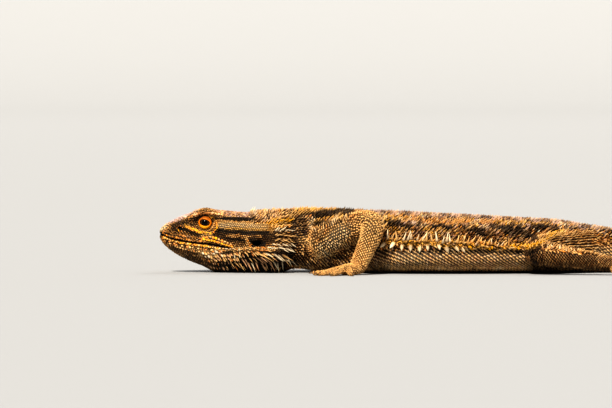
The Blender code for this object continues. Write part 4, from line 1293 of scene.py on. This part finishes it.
throat = P[:, 2] < np.interp(AT, THROAT_AT, THROAT_TOP)
crown = (np.abs(shares_of(P, AT)[0]) < 0.70) & (P[:, 2] > section(AT)[1] + 6)
nape = (AT > 45) & (AT < 60) & (P[:, 2] > 24.5)
face = (AT < 60) & ~throat & ~nape
coat("cheek_scales", "head", KEELED, face & ~crown, (0.98, 0.92), (1.2, 0.98, 0.6), seed=2, stray=0.16,
     lift=8, light=1.0, dark=0.10, vary=0.45, bias=0.45, share=0.4, clump=1.1,
     mottle="umber gold cream black yellow brown cream")
coat("crown_plates", "head", PLATE, face & crown, (1.35, 1.25), (1.0, 1.0, 0.48), seed=3, stray=0.12, lift=3,
     light=0.1, glow="pale", vary=0.5, share=0.8, clump=1.4,
     mottle="silver brown umber lilac cream brown tan")
coat("chin_scales", "beard", KEELED, (AT < 33) & throat, (0.92, 0.82), (1.15, 0.95, 0.44), lean=20, seed=4,
     stray=0.1, lift=5, light=0.8, vary=0.6, mottle="umber tan cream black pale", share=0.55, clump=1.3)
coat("beard_scales", "beard", KEELED, (AT >= 33) & (AT < 66) & throat, (1.15, 0.98), (1.35, 0.95, 0.6),
     lean=22, seed=13, lift=14, light=0.3, vary=0.6)
coat("nape_scales", "head", THORN, nape, (1.45, 1.3), (1.1, 1.0, 1.3), seed=15, stray=0.25, lift=24,
     light=0.9, vary=0.5, mottle="cream gold brown white silver black lilac", share=0.85)
print(COUNTS)

# %% Scales of the trunk and tail
FRINGE = [(96, 16.4), (110, 15.6), (130, 14.6), (150, 13.9), (172, 12.9), (182, 13.2), (190, 16.6),
          (200, 19), (236, 12)]
TRUNK_END = 236


def under_fringe(points):
    """Whether points lie under the row of spines along the flank."""
    return points[:, 2] < np.interp(points[:, 0], *np.transpose(FRINGE)) - 0.6


below = under_fringe(P)
neck = (AT >= 60) & (AT < 104) & ~((AT > 97) & below) & ~(throat & (AT < 66))
coat("neck_scales", "back", THORN, neck, (1.50, 1.30), (1.15, 0.92, 1.0), seed=5, stray=0.14, lift=16,
     light=0.95, dark=0.05, vary=0.5, bias=0.6, share=0.85, clump=1.8,
     mottle="olive cream umber white tan black cream black silver")
coat("back_scales", "back", THORN, (AT >= 104) & (AT < TRUNK_END) & ~below, (1.60, 1.35), (1.1, 1.0, 1.3),
     seed=6, stray=0.30, lift=20, light=0.3, vary=0.6, share=1.0, clump=1.7,
     mottle="gold black cream lilac umber silver black cream yellow umber slate white")
coat("flank_scales", "back", TILE, (AT >= 97) & (AT < TRUNK_END) & below, (1.8, 1.6), (1.12, 0.76, 0.9),
     lean=34, seed=7, lift=5, light=1.0, dark=0.02, vary=0.55, bias=0.3,
     mottle="cream pink white umber white", share=0.4, clump=1.2)
coat("tail_scales", "tail", THORN, AT >= TRUNK_END, (1.30, 1.10), (1.2, 1.0, 0.85), seed=8, lift=12,
     light=0.8, vary=0.5, mottle="gold umber cream tan", share=0.5)
print(COUNTS)

# %% Scales of the limbs
everywhere = np.ones(len(P), bool)
SPINY = dict(front=(AT < 95.5) & (P[:, 2] > 6), hind=P[:, 2] > 11.5 - 0.06 * (AT - 190))
LIMB_COATS = [  # kind, pitch and lean of the leg's rows, shape, bias, the spiny part's shade and mottle
    ("front", (1.60, 1.32), 0, KEELED, 0.3, 0.33, "gold cream tan white cream tan white black"),
    ("hind", (1.45, 1.20), 50, TILE, 0.75, 0.15, "gold umber cream tan brown white cream black"),
]
for kind, pitch, lean, shape, bias, shade, tints in LIMB_COATS:
    legs = [f"{kind}_left", f"{kind}_right"]
    rows = joined([rows_of(leg, ~SPINY[kind], pitch, lean, seed=9) for leg in legs])
    scales(f"{kind}_leg_scales", "limb", shape, rows, (1.2, 0.95, 0.8), lift=12, light=1.0, vary=0.45,
           dark=0.05, mottle="gold cream brown tan", share=0.35, bias=bias)
    rows = joined([rows_of(leg, SPINY[kind], (1.35, 1.15), seed=16, stray=0.2) for leg in legs])
    rows.ahead = laid(np.array([1.0, 0.0, 0.3]), rows.up)
    scales(f"{kind}_spiny_scales", "limb", THORN, rows, (1.2, 1.15, 1.1), lift=20, light=1.0, vary=0.5,
           dark=shade, mottle=tints, share=0.75, clump=1.6)
    feet = []
    for part, across in (("palm", 0.85), ("digit", 0.80)):
        names = [name for name in REGIONS if name.startswith(kind) and part in name]
        feet += [rows_of(name, everywhere, (0.95, across), seed=10) for name in names]
    scales(f"{kind}_foot_scales", "limb", KEELED, joined(feet), (1.25, 1.05, 0.34), lift=7, dark=0.3,
           light=1.0, vary=0.4, bias=0.5)
print(COUNTS)

# %% Fill the bare spots
# Where a limb joins the body or a fold stretches the grid, roots are too far apart. Small scales fill such
# places. Each triangle is tried at its middle, near its corners and at the middles of its sides.
HEAD_GAP, BODY_GAP, FOOT_GAP, FLANK_GAP = 0.76, 0.98, 0.70, 1.3
FILLER_CELL = 0.85
tree = KDTree(sum(len(points) for points in ROOTS))
for number, point in enumerate(np.vstack(ROOTS)):
    tree.insert(point, number)
tree.balance()
spread = np.vstack([np.full((1, 3), 1 / 3), np.full((3, 3), 1 / 6) + np.eye(3) / 2, (1 - np.eye(3)) / 2])
middles = np.einsum("ck,fkd->cfd", spread, P[skin_faces]).reshape(-1, 3)
slopes = unit(np.einsum("ck,fkd->cfd", spread, N[skin_faces]).reshape(-1, 3))
owner = np.tile(np.arange(len(skin_faces)), len(spread))
at, home = middles[:, 0], face_region[owner]
allowed = np.where(at < 60, HEAD_GAP, BODY_GAP)
allowed[(at > 97) & (at < TRUNK_END) & under_fringe(middles) & (home == 0)] = FLANK_GAP
allowed[IS_FOOT[home]] = FOOT_GAP
gaps = np.array([tree.find(point)[2] for point in middles])
bare = np.nonzero((gaps > allowed) & clear_of_face(middles) & (middles[:, 2] > 0.3))[0]
cells = np.floor(middles[bare] / FILLER_CELL).astype(int)
bare = bare[np.unique(cells, axis=0, return_index=True)[1]]
way = TAILWARD[skin_faces[owner[bare], 0]]
place = np.column_stack(body_place(middles[bare])[:2])
filler = Roots(middles[bare], slopes[bare], way, home[bare], place, (0.95, 0.9), 14)
scales("filling_scales", "back", KEELED, filler, (1.30, 1.15, 0.45), lift=8, light=0.5)
print("filled", len(bare), "bare spots")

# %% [markdown]
# ## Lips and lids
# The lips carry rows of small beads along each jaw, and the lids rings of tiny ones. They follow lines
# drawn in the side view, so rays are shot at the skin from the side to find the point and the slope under
# each.

# %% Rays on the skin, and rows along a line
skin_tree = BVHTree.FromPolygons([Vector(p) for p in P], [tuple(f) for f in skin_faces.tolist()])


def hit(above, a, b, side, body_only=True):
    """Where a ray meets the skin: from the side at (from the snout, height), or from above at (.., off)."""
    start, way = Vector((a, side * 120.0, b)), Vector((0, -side, 0))
    if above:
        start, way = Vector((a, side * b, 90.0)), Vector((0, 0, -1))
    for attempt in range(6):
        spot, normal, face, gap = skin_tree.ray_cast(start, way)
        if spot is None or (not above and spot.y * side < 0):
            return None
        if face_region[face] == 0 or not body_only:
            return np.array(spot), np.array(normal)
        start = spot + way * 0.05
    return None


def along_line(line, count):
    """Evenly spaced points on a line, each with the line's direction there and its share of the length."""
    line = np.array(line, float)
    if len(line) == 1:
        return [(line[0], np.array([1.0, 0.0]), 0.0)]
    runs = np.concatenate([[0], np.cumsum(np.linalg.norm(np.diff(line, axis=0), axis=1))])
    spots = []
    for share in np.linspace(0, 1, count):
        point = np.array([np.interp(share * runs[-1], runs, line[:, k]) for k in (0, 1)])
        k = min(np.searchsorted(runs, share * runs[-1], side="right"), len(line) - 1)
        spots.append((point, (line[k] - line[k - 1]) / np.linalg.norm(line[k] - line[k - 1]), share))
    return spots


def between(ends, share):
    return ends[0] + share * (ends[1] - ends[0])


def plant_rows(name, slot, shape, table, body_only=True, seed=1, wander=0.3):
    """Plants rows on both sides of the body. A row: line, count, lengths, angles or None to follow the line,
    lift, width, height, root tint, tip tints, and "top" if its line is drawn in the view from above. Lengths
    and angles run from the first to the last of the row."""
    draw = np.random.default_rng(seed)
    planted = []
    for line, count, lengths, angles, lift, width, height, dark, light, *view in table:
        for side, (point, way, share) in [(s, stop) for s in (-1, 1) for stop in along_line(line, count)]:
            shift, turn = draw.normal(0, wander, 2), draw.normal(0, 30 * wander)
            grow, tone = draw.uniform(0.75, 1.2), draw.random()
            found = hit(bool(view), *(point + shift * (count > 1)), side, body_only)
            if found is None:
                continue
            spot, normal = found
            if angles:
                angle = math.radians(between(angles, share) + turn)
                way = np.array([math.cos(angle), math.sin(angle)])
            flat = np.array([way[0], side * way[1], 0] if view else [way[0], 0, way[1]])
            flat = flat - normal * (flat @ normal)
            flat /= max(np.linalg.norm(flat), 1e-6)
            a = math.radians(lift)
            ahead = flat * math.cos(a) + normal * math.sin(a)
            size = (between(lengths, share) * grow, width * grow, height * grow)
            # The root tint darkens each copy's root: on the lip beads, whose tint runs up their height, it
            # is painted shade in the gaps between them; on spines it is their own darker base.
            shade = TINTS[dark] * (0.30 + 0.5 * tone)
            tip = TINTS[draw.choice(light.split())] * (0.85 + 0.35 * tone)
            planted.append((spot - normal * 0.15, ahead, normal, size, shade, tip))
    columns = [np.array(values) for values in zip(*planted)]
    place = np.column_stack(body_place(columns[0])[:2])
    plant(name, slot, shape, *columns, place, 2 if shape is BEAD else 0)


print("skin ready for rays")

# %% Lips, brow and the lines round the eye
LIPS = [  # upper lip, brow, behind the mouth, lower lip, and the yellow lines round eye and nostril
    ([(1.4, 19.4), (5.7, 17.9), (11, 16.9), (16, 16.2), (21, 15.9)],
     20, (1.3, 1.2), None, 3, 0.9, 0.9, "black", "tan olive umber gold olive"),
    ([(2.0, 20.4), (8, 18.9), (14, 18.0), (21, 17.2)],
     20, (1.2, 1.1), None, 3, 0.9, 0.9, "black", "olive umber tan olive grey"),
    ([(14.5, 27.3), (17, 28.7), (20, 29.6), (28, 29.7), (31, 28.9)],
     12, (1.9, 1.7), None, 4, 1.2, 0.7, "umber", "pale tan cream"),
    ([(22, 17.6), (26, 17.9), (30, 16.6), (35.5, 14.4)],
     10, (1.6, 1.5), None, 8, 1.2, 0.9, "umber", "gold yellow cream"),
    ([(21, 16.7), (27, 15.9), (31.5, 14.5), (36, 13.2)],
     13, (1.4, 1.3), None, 6, 0.9, 0.9, "umber", "gold yellow yellow"),
    ([(1.6, 17.6), (5.7, 15.8), (11, 14.7), (16, 14.0), (23, 13.3), (30, 12.2)],
     26, (1.1, 1.1), None, 6, 0.9, 0.8, "umber", "yellow gold cream brown"),
    ([(3.4, 15.9), (8, 13.9), (13, 12.8), (19, 12.0), (26, 11.3)],
     18, (1.2, 1.2), None, 8, 0.9, 0.9, "umber", "cream tan umber"),
    ([(5, 14.4), (10, 12.2), (16, 10.8), (24, 9.8)],
     15, (1.1, 1.1), None, 8, 0.9, 0.8, "umber", "tan brown cream"),
    ([(24.8, 28.3), (27.3, 27.0), (28.6, 24.8), (28.5, 22.4), (27.0, 20.4)],
     13, (1.0, 1.0), None, 4, 0.8, 0.6, "olive", "gold yellow"),
    ([(13.4, 22.9), (17, 21.7), (20.2, 20.5), (25.4, 19.7)],
     15, (1.2, 1.1), None, 4, 0.9, 0.6, "olive", "gold yellow yellow"),
    ([(14.4, 22.0), (17.4, 20.8), (21.0, 19.6)], 9, (1.1, 1.0), None, 4, 0.8, 0.6, "olive", "gold yellow"),
    ([(9.0, 21.3), (9.7, 20.4), (10.8, 20.6)], 4, (0.9, 0.9), None, 4, 0.7, 0.5, "olive", "gold yellow"),
    ([(8.6, 22.4), (9.4, 23.4), (10.7, 23.5), (11.4, 22.6)],
     6, (0.9, 0.9), None, 4, 0.7, 0.5, "umber", "grey brown tan"),
]
plant_rows("lip_plates", "head", BEAD, LIPS, seed=21, wander=0.08)
print("lip plates", COUNTS["lip_plates"][0])

# %% Scales round the eyes
draw = np.random.default_rng(31)
planted = []
for side in (-1, 1):
    local, axes, centre = eye_plane(P[:1], side)
    for share, count, length, shift in ((0.90, 30, 0.62, 0.0), (0.76, 26, 0.50, 0.5)):
        for k in range(count):
            turn = math.tau * (k + shift) / count
            ahead, up = math.cos(turn), math.sin(turn)
            flat = np.array([share * LID_RIM[0] * ahead, share * LID_RIM[1] * up])
            start = Vector(centre + flat @ axes[:2] + axes[2] * 12)
            spot, normal, face, gap = skin_tree.ray_cast(start, Vector(-axes[2]))
            spot, normal = np.array(spot), np.array(normal)
            round_lid = -up * axes[0] + ahead * axes[1]
            round_lid = round_lid - normal * (round_lid @ normal)
            tone = draw.uniform(0.6, 1.0)
            glow = between((TINTS["orange"], TINTS["yellow"]), max(0.0, -up - 0.3 * ahead))
            glow = between((glow, TINTS["umber"]), 0.95 * max(0.0, up) ** 0.7 + 0.25 * draw.random()) * tone
            size = (length, 0.46, 0.26)
            # each lid bead is painted darker towards its base, as shade in the gaps between them
            planted.append((spot - normal * 0.10, round_lid, normal, size, glow * 0.3, glow))
roots, ahead, *columns = [np.array(values) for values in zip(*planted)]
place = roots[:, [0, 2]] + np.array([0.0, 60.0]) * (roots[:, 1:2] > 0)
plant("lid_scales", "head", BEAD, roots, unit(ahead), *columns, place, along=2)
print("lid scales", COUNTS["lid_scales"][0])

# %% [markdown]
# ## Spines
# A bearded dragon is named for the spines of its throat. Two rows of spines fringe the flanks, one pointing
# up and one down, and thorns stand on the nape. Each row of the tables is one line of spines on both sides
# of the body.

# %% Beard, nape and fringe
BEARD = [
    ([(35, 9.4), (46, 9.9), (56, 10.2)],
     11, (2.4, 3.4), (-60, -32), 20, 1.2, 1.1, "umber", "cream white tan"),
    ([(46, 10.5), (63, 9.2)], 9, (5.4, 7.0), (-30, -40), 22, 1.2, 1.1, "umber", "cream white"),
    ([(33, 7.6), (52, 7.8)], 11, (2.8, 4.8), (-62, -48), 22, 1.12, 1.0, "black", "pale cream"),
    ([(35, 5.2), (47, 6.1), (61, 6.1)],
     13, (4.6, 6.0), (-56, -70), 20, 1.12, 1.0, "black", "cream white pale"),
    ([(33, 3.6), (46, 3.6), (60, 3.6)],
     13, (3.2, 3.4), (-60, -78), 16, 1.05, 0.9, "black", "tan pale cream"),
    ([(58, 7.8), (65, 6.8)], 3, (4.8, 5.6), (-46, -40), 24, 1.12, 1.0, "umber", "cream white"),
    ([(26, 10.4), (32, 11.4), (40, 12.3), (55, 12.7)],
     18, (1.8, 2.3), (-10, -16), 18, 1.15, 1.05, "brown", "cream gold white"),
    ([(28, 9.2), (44, 11.0), (54, 11.3)], 14, (2.0, 2.7), (-40, -30), 18, 1.15, 1.05, "umber", "cream tan"),
    ([(27, 7.2), (34, 8.6)], 6, (1.7, 2.0), (-50, -45), 18, 1.0, 0.9, "umber", "cream pale"),
    ([(26, 5.0), (34, 5.6)], 6, (1.7, 2.0), (-60, -55), 18, 1.0, 0.9, "umber", "tan pale"),
    ([(48, 8.6), (62, 7.8)], 8, (4.6, 5.6), (-42, -50), 20, 1.1, 1.0, "umber", "cream pale"),
]
plant_rows("beard_spines", "beard", SPINE, BEARD, seed=41, wander=0.25)
FLAKES = [
    ([(21, 9.6), (30, 10.6)], 8, (1.8, 2.2), (-8, -12), 16, 1.5, 0.9, "umber", "cream pale white"),
    ([(22, 8.2), (34, 9.4), (41, 9.4)],
     13, (2.0, 2.6), (-20, -30), 18, 1.5, 0.9, "umber", "cream white pale"),
    ([(24, 6.6), (38, 7.6)], 10, (1.9, 2.4), (-34, -42), 18, 1.4, 0.9, "black", "cream pale tan"),
    ([(25, 3.4), (33, 2.6)], 6, (1.8, 2.0), (-60, -66), 16, 1.2, 0.9, "black", "tan pale"),
]
plant_rows("beard_flakes", "beard", LEAF, FLAKES, seed=46, wander=0.25)
NAPE = [
    ([(55, 12.6), (64.5, 12.6)], 6, (3.2, 5.2), (-22, -36), 24, 1.4, 1.1, "umber", "white"),
    ([(56.5, 14.6), (65, 14.8)], 7, (2.8, 3.8), (-15, -35), 28, 1.2, 1.1, "umber", "white"),
    ([(57.5, 16.6), (65, 16.8)], 7, (2.6, 3.2), (5, -25), 30, 1.2, 1.1, "umber", "cream"),
    ([(57.5, 18.6), (65, 18.8)], 7, (2.6, 3.2), (25, -10), 30, 1.2, 1.1, "umber", "cream"),
    ([(57.5, 20.6), (65, 20.8)], 7, (2.6, 3.2), (50, 25), 30, 1.2, 1.1, "umber", "white"),
    ([(56, 22.6), (64.5, 23.0)], 7, (2.4, 3.2), (60, 35), 28, 1.3, 1.1, "gold", "cream"),
    ([(53, 24.6), (63.5, 25.4)], 9, (2.6, 3.6), (70, 40), 28, 1.1, 0.9, "brown", "yellow"),
    ([(55, 26.2), (64.5, 27.2)], 8, (2.6, 3.2), (75, 45), 30, 1.1, 0.9, "brown", "cream"),
    ([(50, 27.6), (62, 29.0)], 9, (2.2, 2.8), (80, 50), 34, 1.1, 0.9, "grey", "cream"),
    ([(43.6, 16.8), (44.4, 13.4)], 5, (1.3, 1.5), (0, 0), 18, 1.0, 0.8, "brown", "gold"),
    ([(45.8, 1.0), (46.6, 6.0), (48.4, 12.0)], 6, (3.2, 2.6), (0, 20), 56, 1.4, 1.2, "grey", "white", "top"),
    ([(51, 2.0), (52.4, 11.0)], 5, (2.4, 2.4), (0, 15), 50, 1.2, 1.0, "grey", "cream", "top"),
    ([(55.5, 1.0), (57, 12.0)], 6, (2.4, 2.4), (0, 15), 50, 1.2, 1.0, "grey", "pale", "top"),
    ([(60, 2.0), (61, 12.0)], 5, (2.4, 2.4), (0, 15), 50, 1.2, 1.0, "grey", "cream", "top"),
    ([(69.5, 24), (71, 17), (71, 10)], 7, (2.0, 2.3), (10, -60), 24, 1.3, 1.0, "umber", "cream"),
    ([(73.5, 24), (75.5, 16), (75, 8)], 8, (2.0, 2.2), (10, -60), 24, 1.3, 1.0, "umber", "cream"),
    ([(78, 22), (79.5, 15), (79, 7)], 8, (1.8, 2.0), (10, -60), 22, 1.2, 0.9, "umber", "gold"),
]
plant_rows("nape_spines", "back", SPINE, NAPE, seed=42)
FRINGE_ROWS = [
    ([(105.5, 16.9), (120, 16.4), (135, 15.8), (150, 15.0)],
     19, (6.4, 5.4), (100, 78), 26, 1.8, 1.4, "olive", "white white cream"),
    ([(151, 14.9), (160, 14.4), (171, 13.6)], 13, (4.6, 3.2), (84, 64), 24, 1.5, 1.2, "gold", "cream white"),
    ([(172, 13.4), (181, 13.4)], 9, (1.9, 1.7), (60, 50), 16, 1.4, 1.0, "yellow", "cream yellow"),
    ([(173.4, 13.4)], 1, (6.2, 6.2), (98, 98), 12, 1.0, 0.9, "gold", "cream"),
    ([(107, 12.9), (125, 12.2), (150, 11.6)],
     22, (1.7, 1.4), (-80, -60), 16, 1.0, 0.9, "umber", "cream gold umber"),
    ([(110, 19.4), (130, 18.6), (152, 17.6)], 14, (2.0, 1.8), (50, 30), 26, 1.2, 0.9, "brown", "gold"),
]
plant_rows("fringe_spines", "back", SPINE, FRINGE_ROWS, seed=43)
DROPS = [
    ([(107.5, 15.9), (120, 15.3), (136, 14.4), (150, 13.7)],
     11, (4.0, 3.2), (-104, -66), 34, 2.3, 1.9, "cream", "white"),
    ([(109, 14.2), (124, 13.8), (150, 12.6)],
     15, (2.2, 1.7), (-96, -60), 26, 1.4, 1.2, "gold", "white cream tan"),
    ([(151, 13.6), (165, 13.0), (180, 12.8)],
     17, (2.0, 1.7), (-60, -30), 12, 1.7, 1.3, "yellow", "cream yellow"),
]
plant_rows("fringe_leaves", "back", LEAF, DROPS, seed=44, wander=0.5)
LEG_SPINES = [
    ([(181, 13.4), (185, 14.3), (190, 16.6), (195, 19.4)],
     26, (1.7, 1.8), (20, 60), 24, 1.3, 1.0, "brown", "yellow"),
    ([(190.5, 12.9), (200, 12.4), (208, 11.0)],
     16, (2.8, 2.6), (104, 84), 14, 1.2, 1.0, "tan", "white cream"),
    ([(191, 12.7), (200, 12.2), (208, 10.8)], 16, (2.4, 2.2), (-72, -60), 12, 1.2, 1.0, "tan", "cream gold"),
]
plant_rows("leg_spines", "limb", SPINE, LEG_SPINES, body_only=False, seed=45)
print({name: COUNTS[name][0] for name in COUNTS if "spines" in name or "leaves" in name})

# %% Thorns scattered among the scales of the back
thorns = rows_of("body", (AT >= 66) & (AT < 300) & ~below & (P[:, 2] > 9), (2.2, 2.0), seed=12)
thorns.take((thorns.random() < 0.85) & (speckle(thorns.points, 4.0, 8) > 0.34))
scales("back_thorns", "back", SPINE, thorns, (1.0, 0.85, 1.5), lift=48, light=0.6, vary=0.5,
       mottle="cream gold lilac white umber cream", share=0.8, clump=2.2)
print("thorns", COUNTS["back_thorns"][0])

# %% [markdown]
# ## Claws and eyes
# Claws are smooth dark horn, so they are separate pieces with a finish of their own. Each eyeball is a
# sphere turned about the eye's own axis, which puts its rings of points round the pupil, where the iris
# needs them.

# %% Claws
CLAW_ROOT, CLAW_WIDTH, CLAW_HEIGHT = 1.0, 1.7, 1.9
claw_horn = Paint("claw_horn", Roughness=0.28)
cloudy = claw_horn.mix(claw_horn.cloud(700.0), (0.03, 0.02, 0.014, 1), (0.12, 0.085, 0.055, 1))
claw_horn.feed("Base Color", cloudy)
starts = np.array([start + np.array([0, 0, 0.35]) - way * CLAW_ROOT for start, way in CLAWS])
ways = unit(np.array([way for start, way in CLAWS]) + UPRIGHT * 0.10)
sizes = np.tile([CLAW_LENGTH + CLAW_ROOT, CLAW_WIDTH, CLAW_HEIGHT], (len(CLAWS), 1))
tints = np.tile(TINTS["umber"], (len(CLAWS), 1))
down = np.tile(-UPRIGHT, (len(CLAWS), 1))
claws = plant("claws", "limb", spine(0.35, 0.8), starts, ways, down, sizes, tints, tints, starts[:, :2])
claws.data.materials.clear()
claws.data.materials.append(claw_horn.material)
claws.data.shade_smooth()
print("claws", COUNTS["claws"])

# %% Eyes
PUPIL, IRIS = 1.5, 2.4
CORNEA_BULGE = 0.22
eye_paint = Paint("wet_eye", Roughness=0.07, Specular_IOR_Level=0.14)
ring = eye_paint.attribute("from_pupil", "Fac")
amber = eye_paint.mix(eye_paint.cloud(1600.0, 2.0), (0.012, 0.007, 0.004, 1), (0.07, 0.032, 0.012, 1))
iris = eye_paint.mix(ring.step(PUPIL - 0.12, PUPIL + 0.12), (0.002, 0.002, 0.003, 1), amber)
whole_eye = eye_paint.mix(ring.step(IRIS - 0.3, IRIS + 0.2), iris, (0.012, 0.008, 0.006, 1))
eye_paint.feed("Base Color", whole_eye)
for side, node in ((-1, "eye_left"), (1, "eye_right")):
    local, axes, centre = eye_plane(P[:1], side)
    bm = bmesh.new()
    bmesh.ops.create_uvsphere(bm, u_segments=48, v_segments=40, radius=EYE_RADIUS)
    ball = np.array([v.co for v in bm.verts])
    flat = np.hypot(ball[:, 0], ball[:, 1])
    front = ball[:, 2] > 0
    ball[:, 2] += CORNEA_BULGE * ease(flat, 2.4, 0.6) * front
    for vert, spot in zip(bm.verts, metres(ball @ axes + centre)):
        vert.co = spot
    bmesh.ops.recalc_face_normals(bm, faces=bm.faces)
    eyeball = to_object(node.replace("eye", "eyeball"), bm)
    values = eyeball.data.attributes.new("from_pupil", "FLOAT", "POINT").data
    values.foreach_set("value", np.where(front, flat, 9.0))
    eyeball.data.shade_smooth()
    eyeball.data.materials.append(eye_paint.material)
    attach(eyeball, "root")
    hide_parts(node)
total = len(skin.data.polygons) + sum(faces for count, faces in COUNTS.values())
print("eyes in;", total, "triangles in skin and coat")
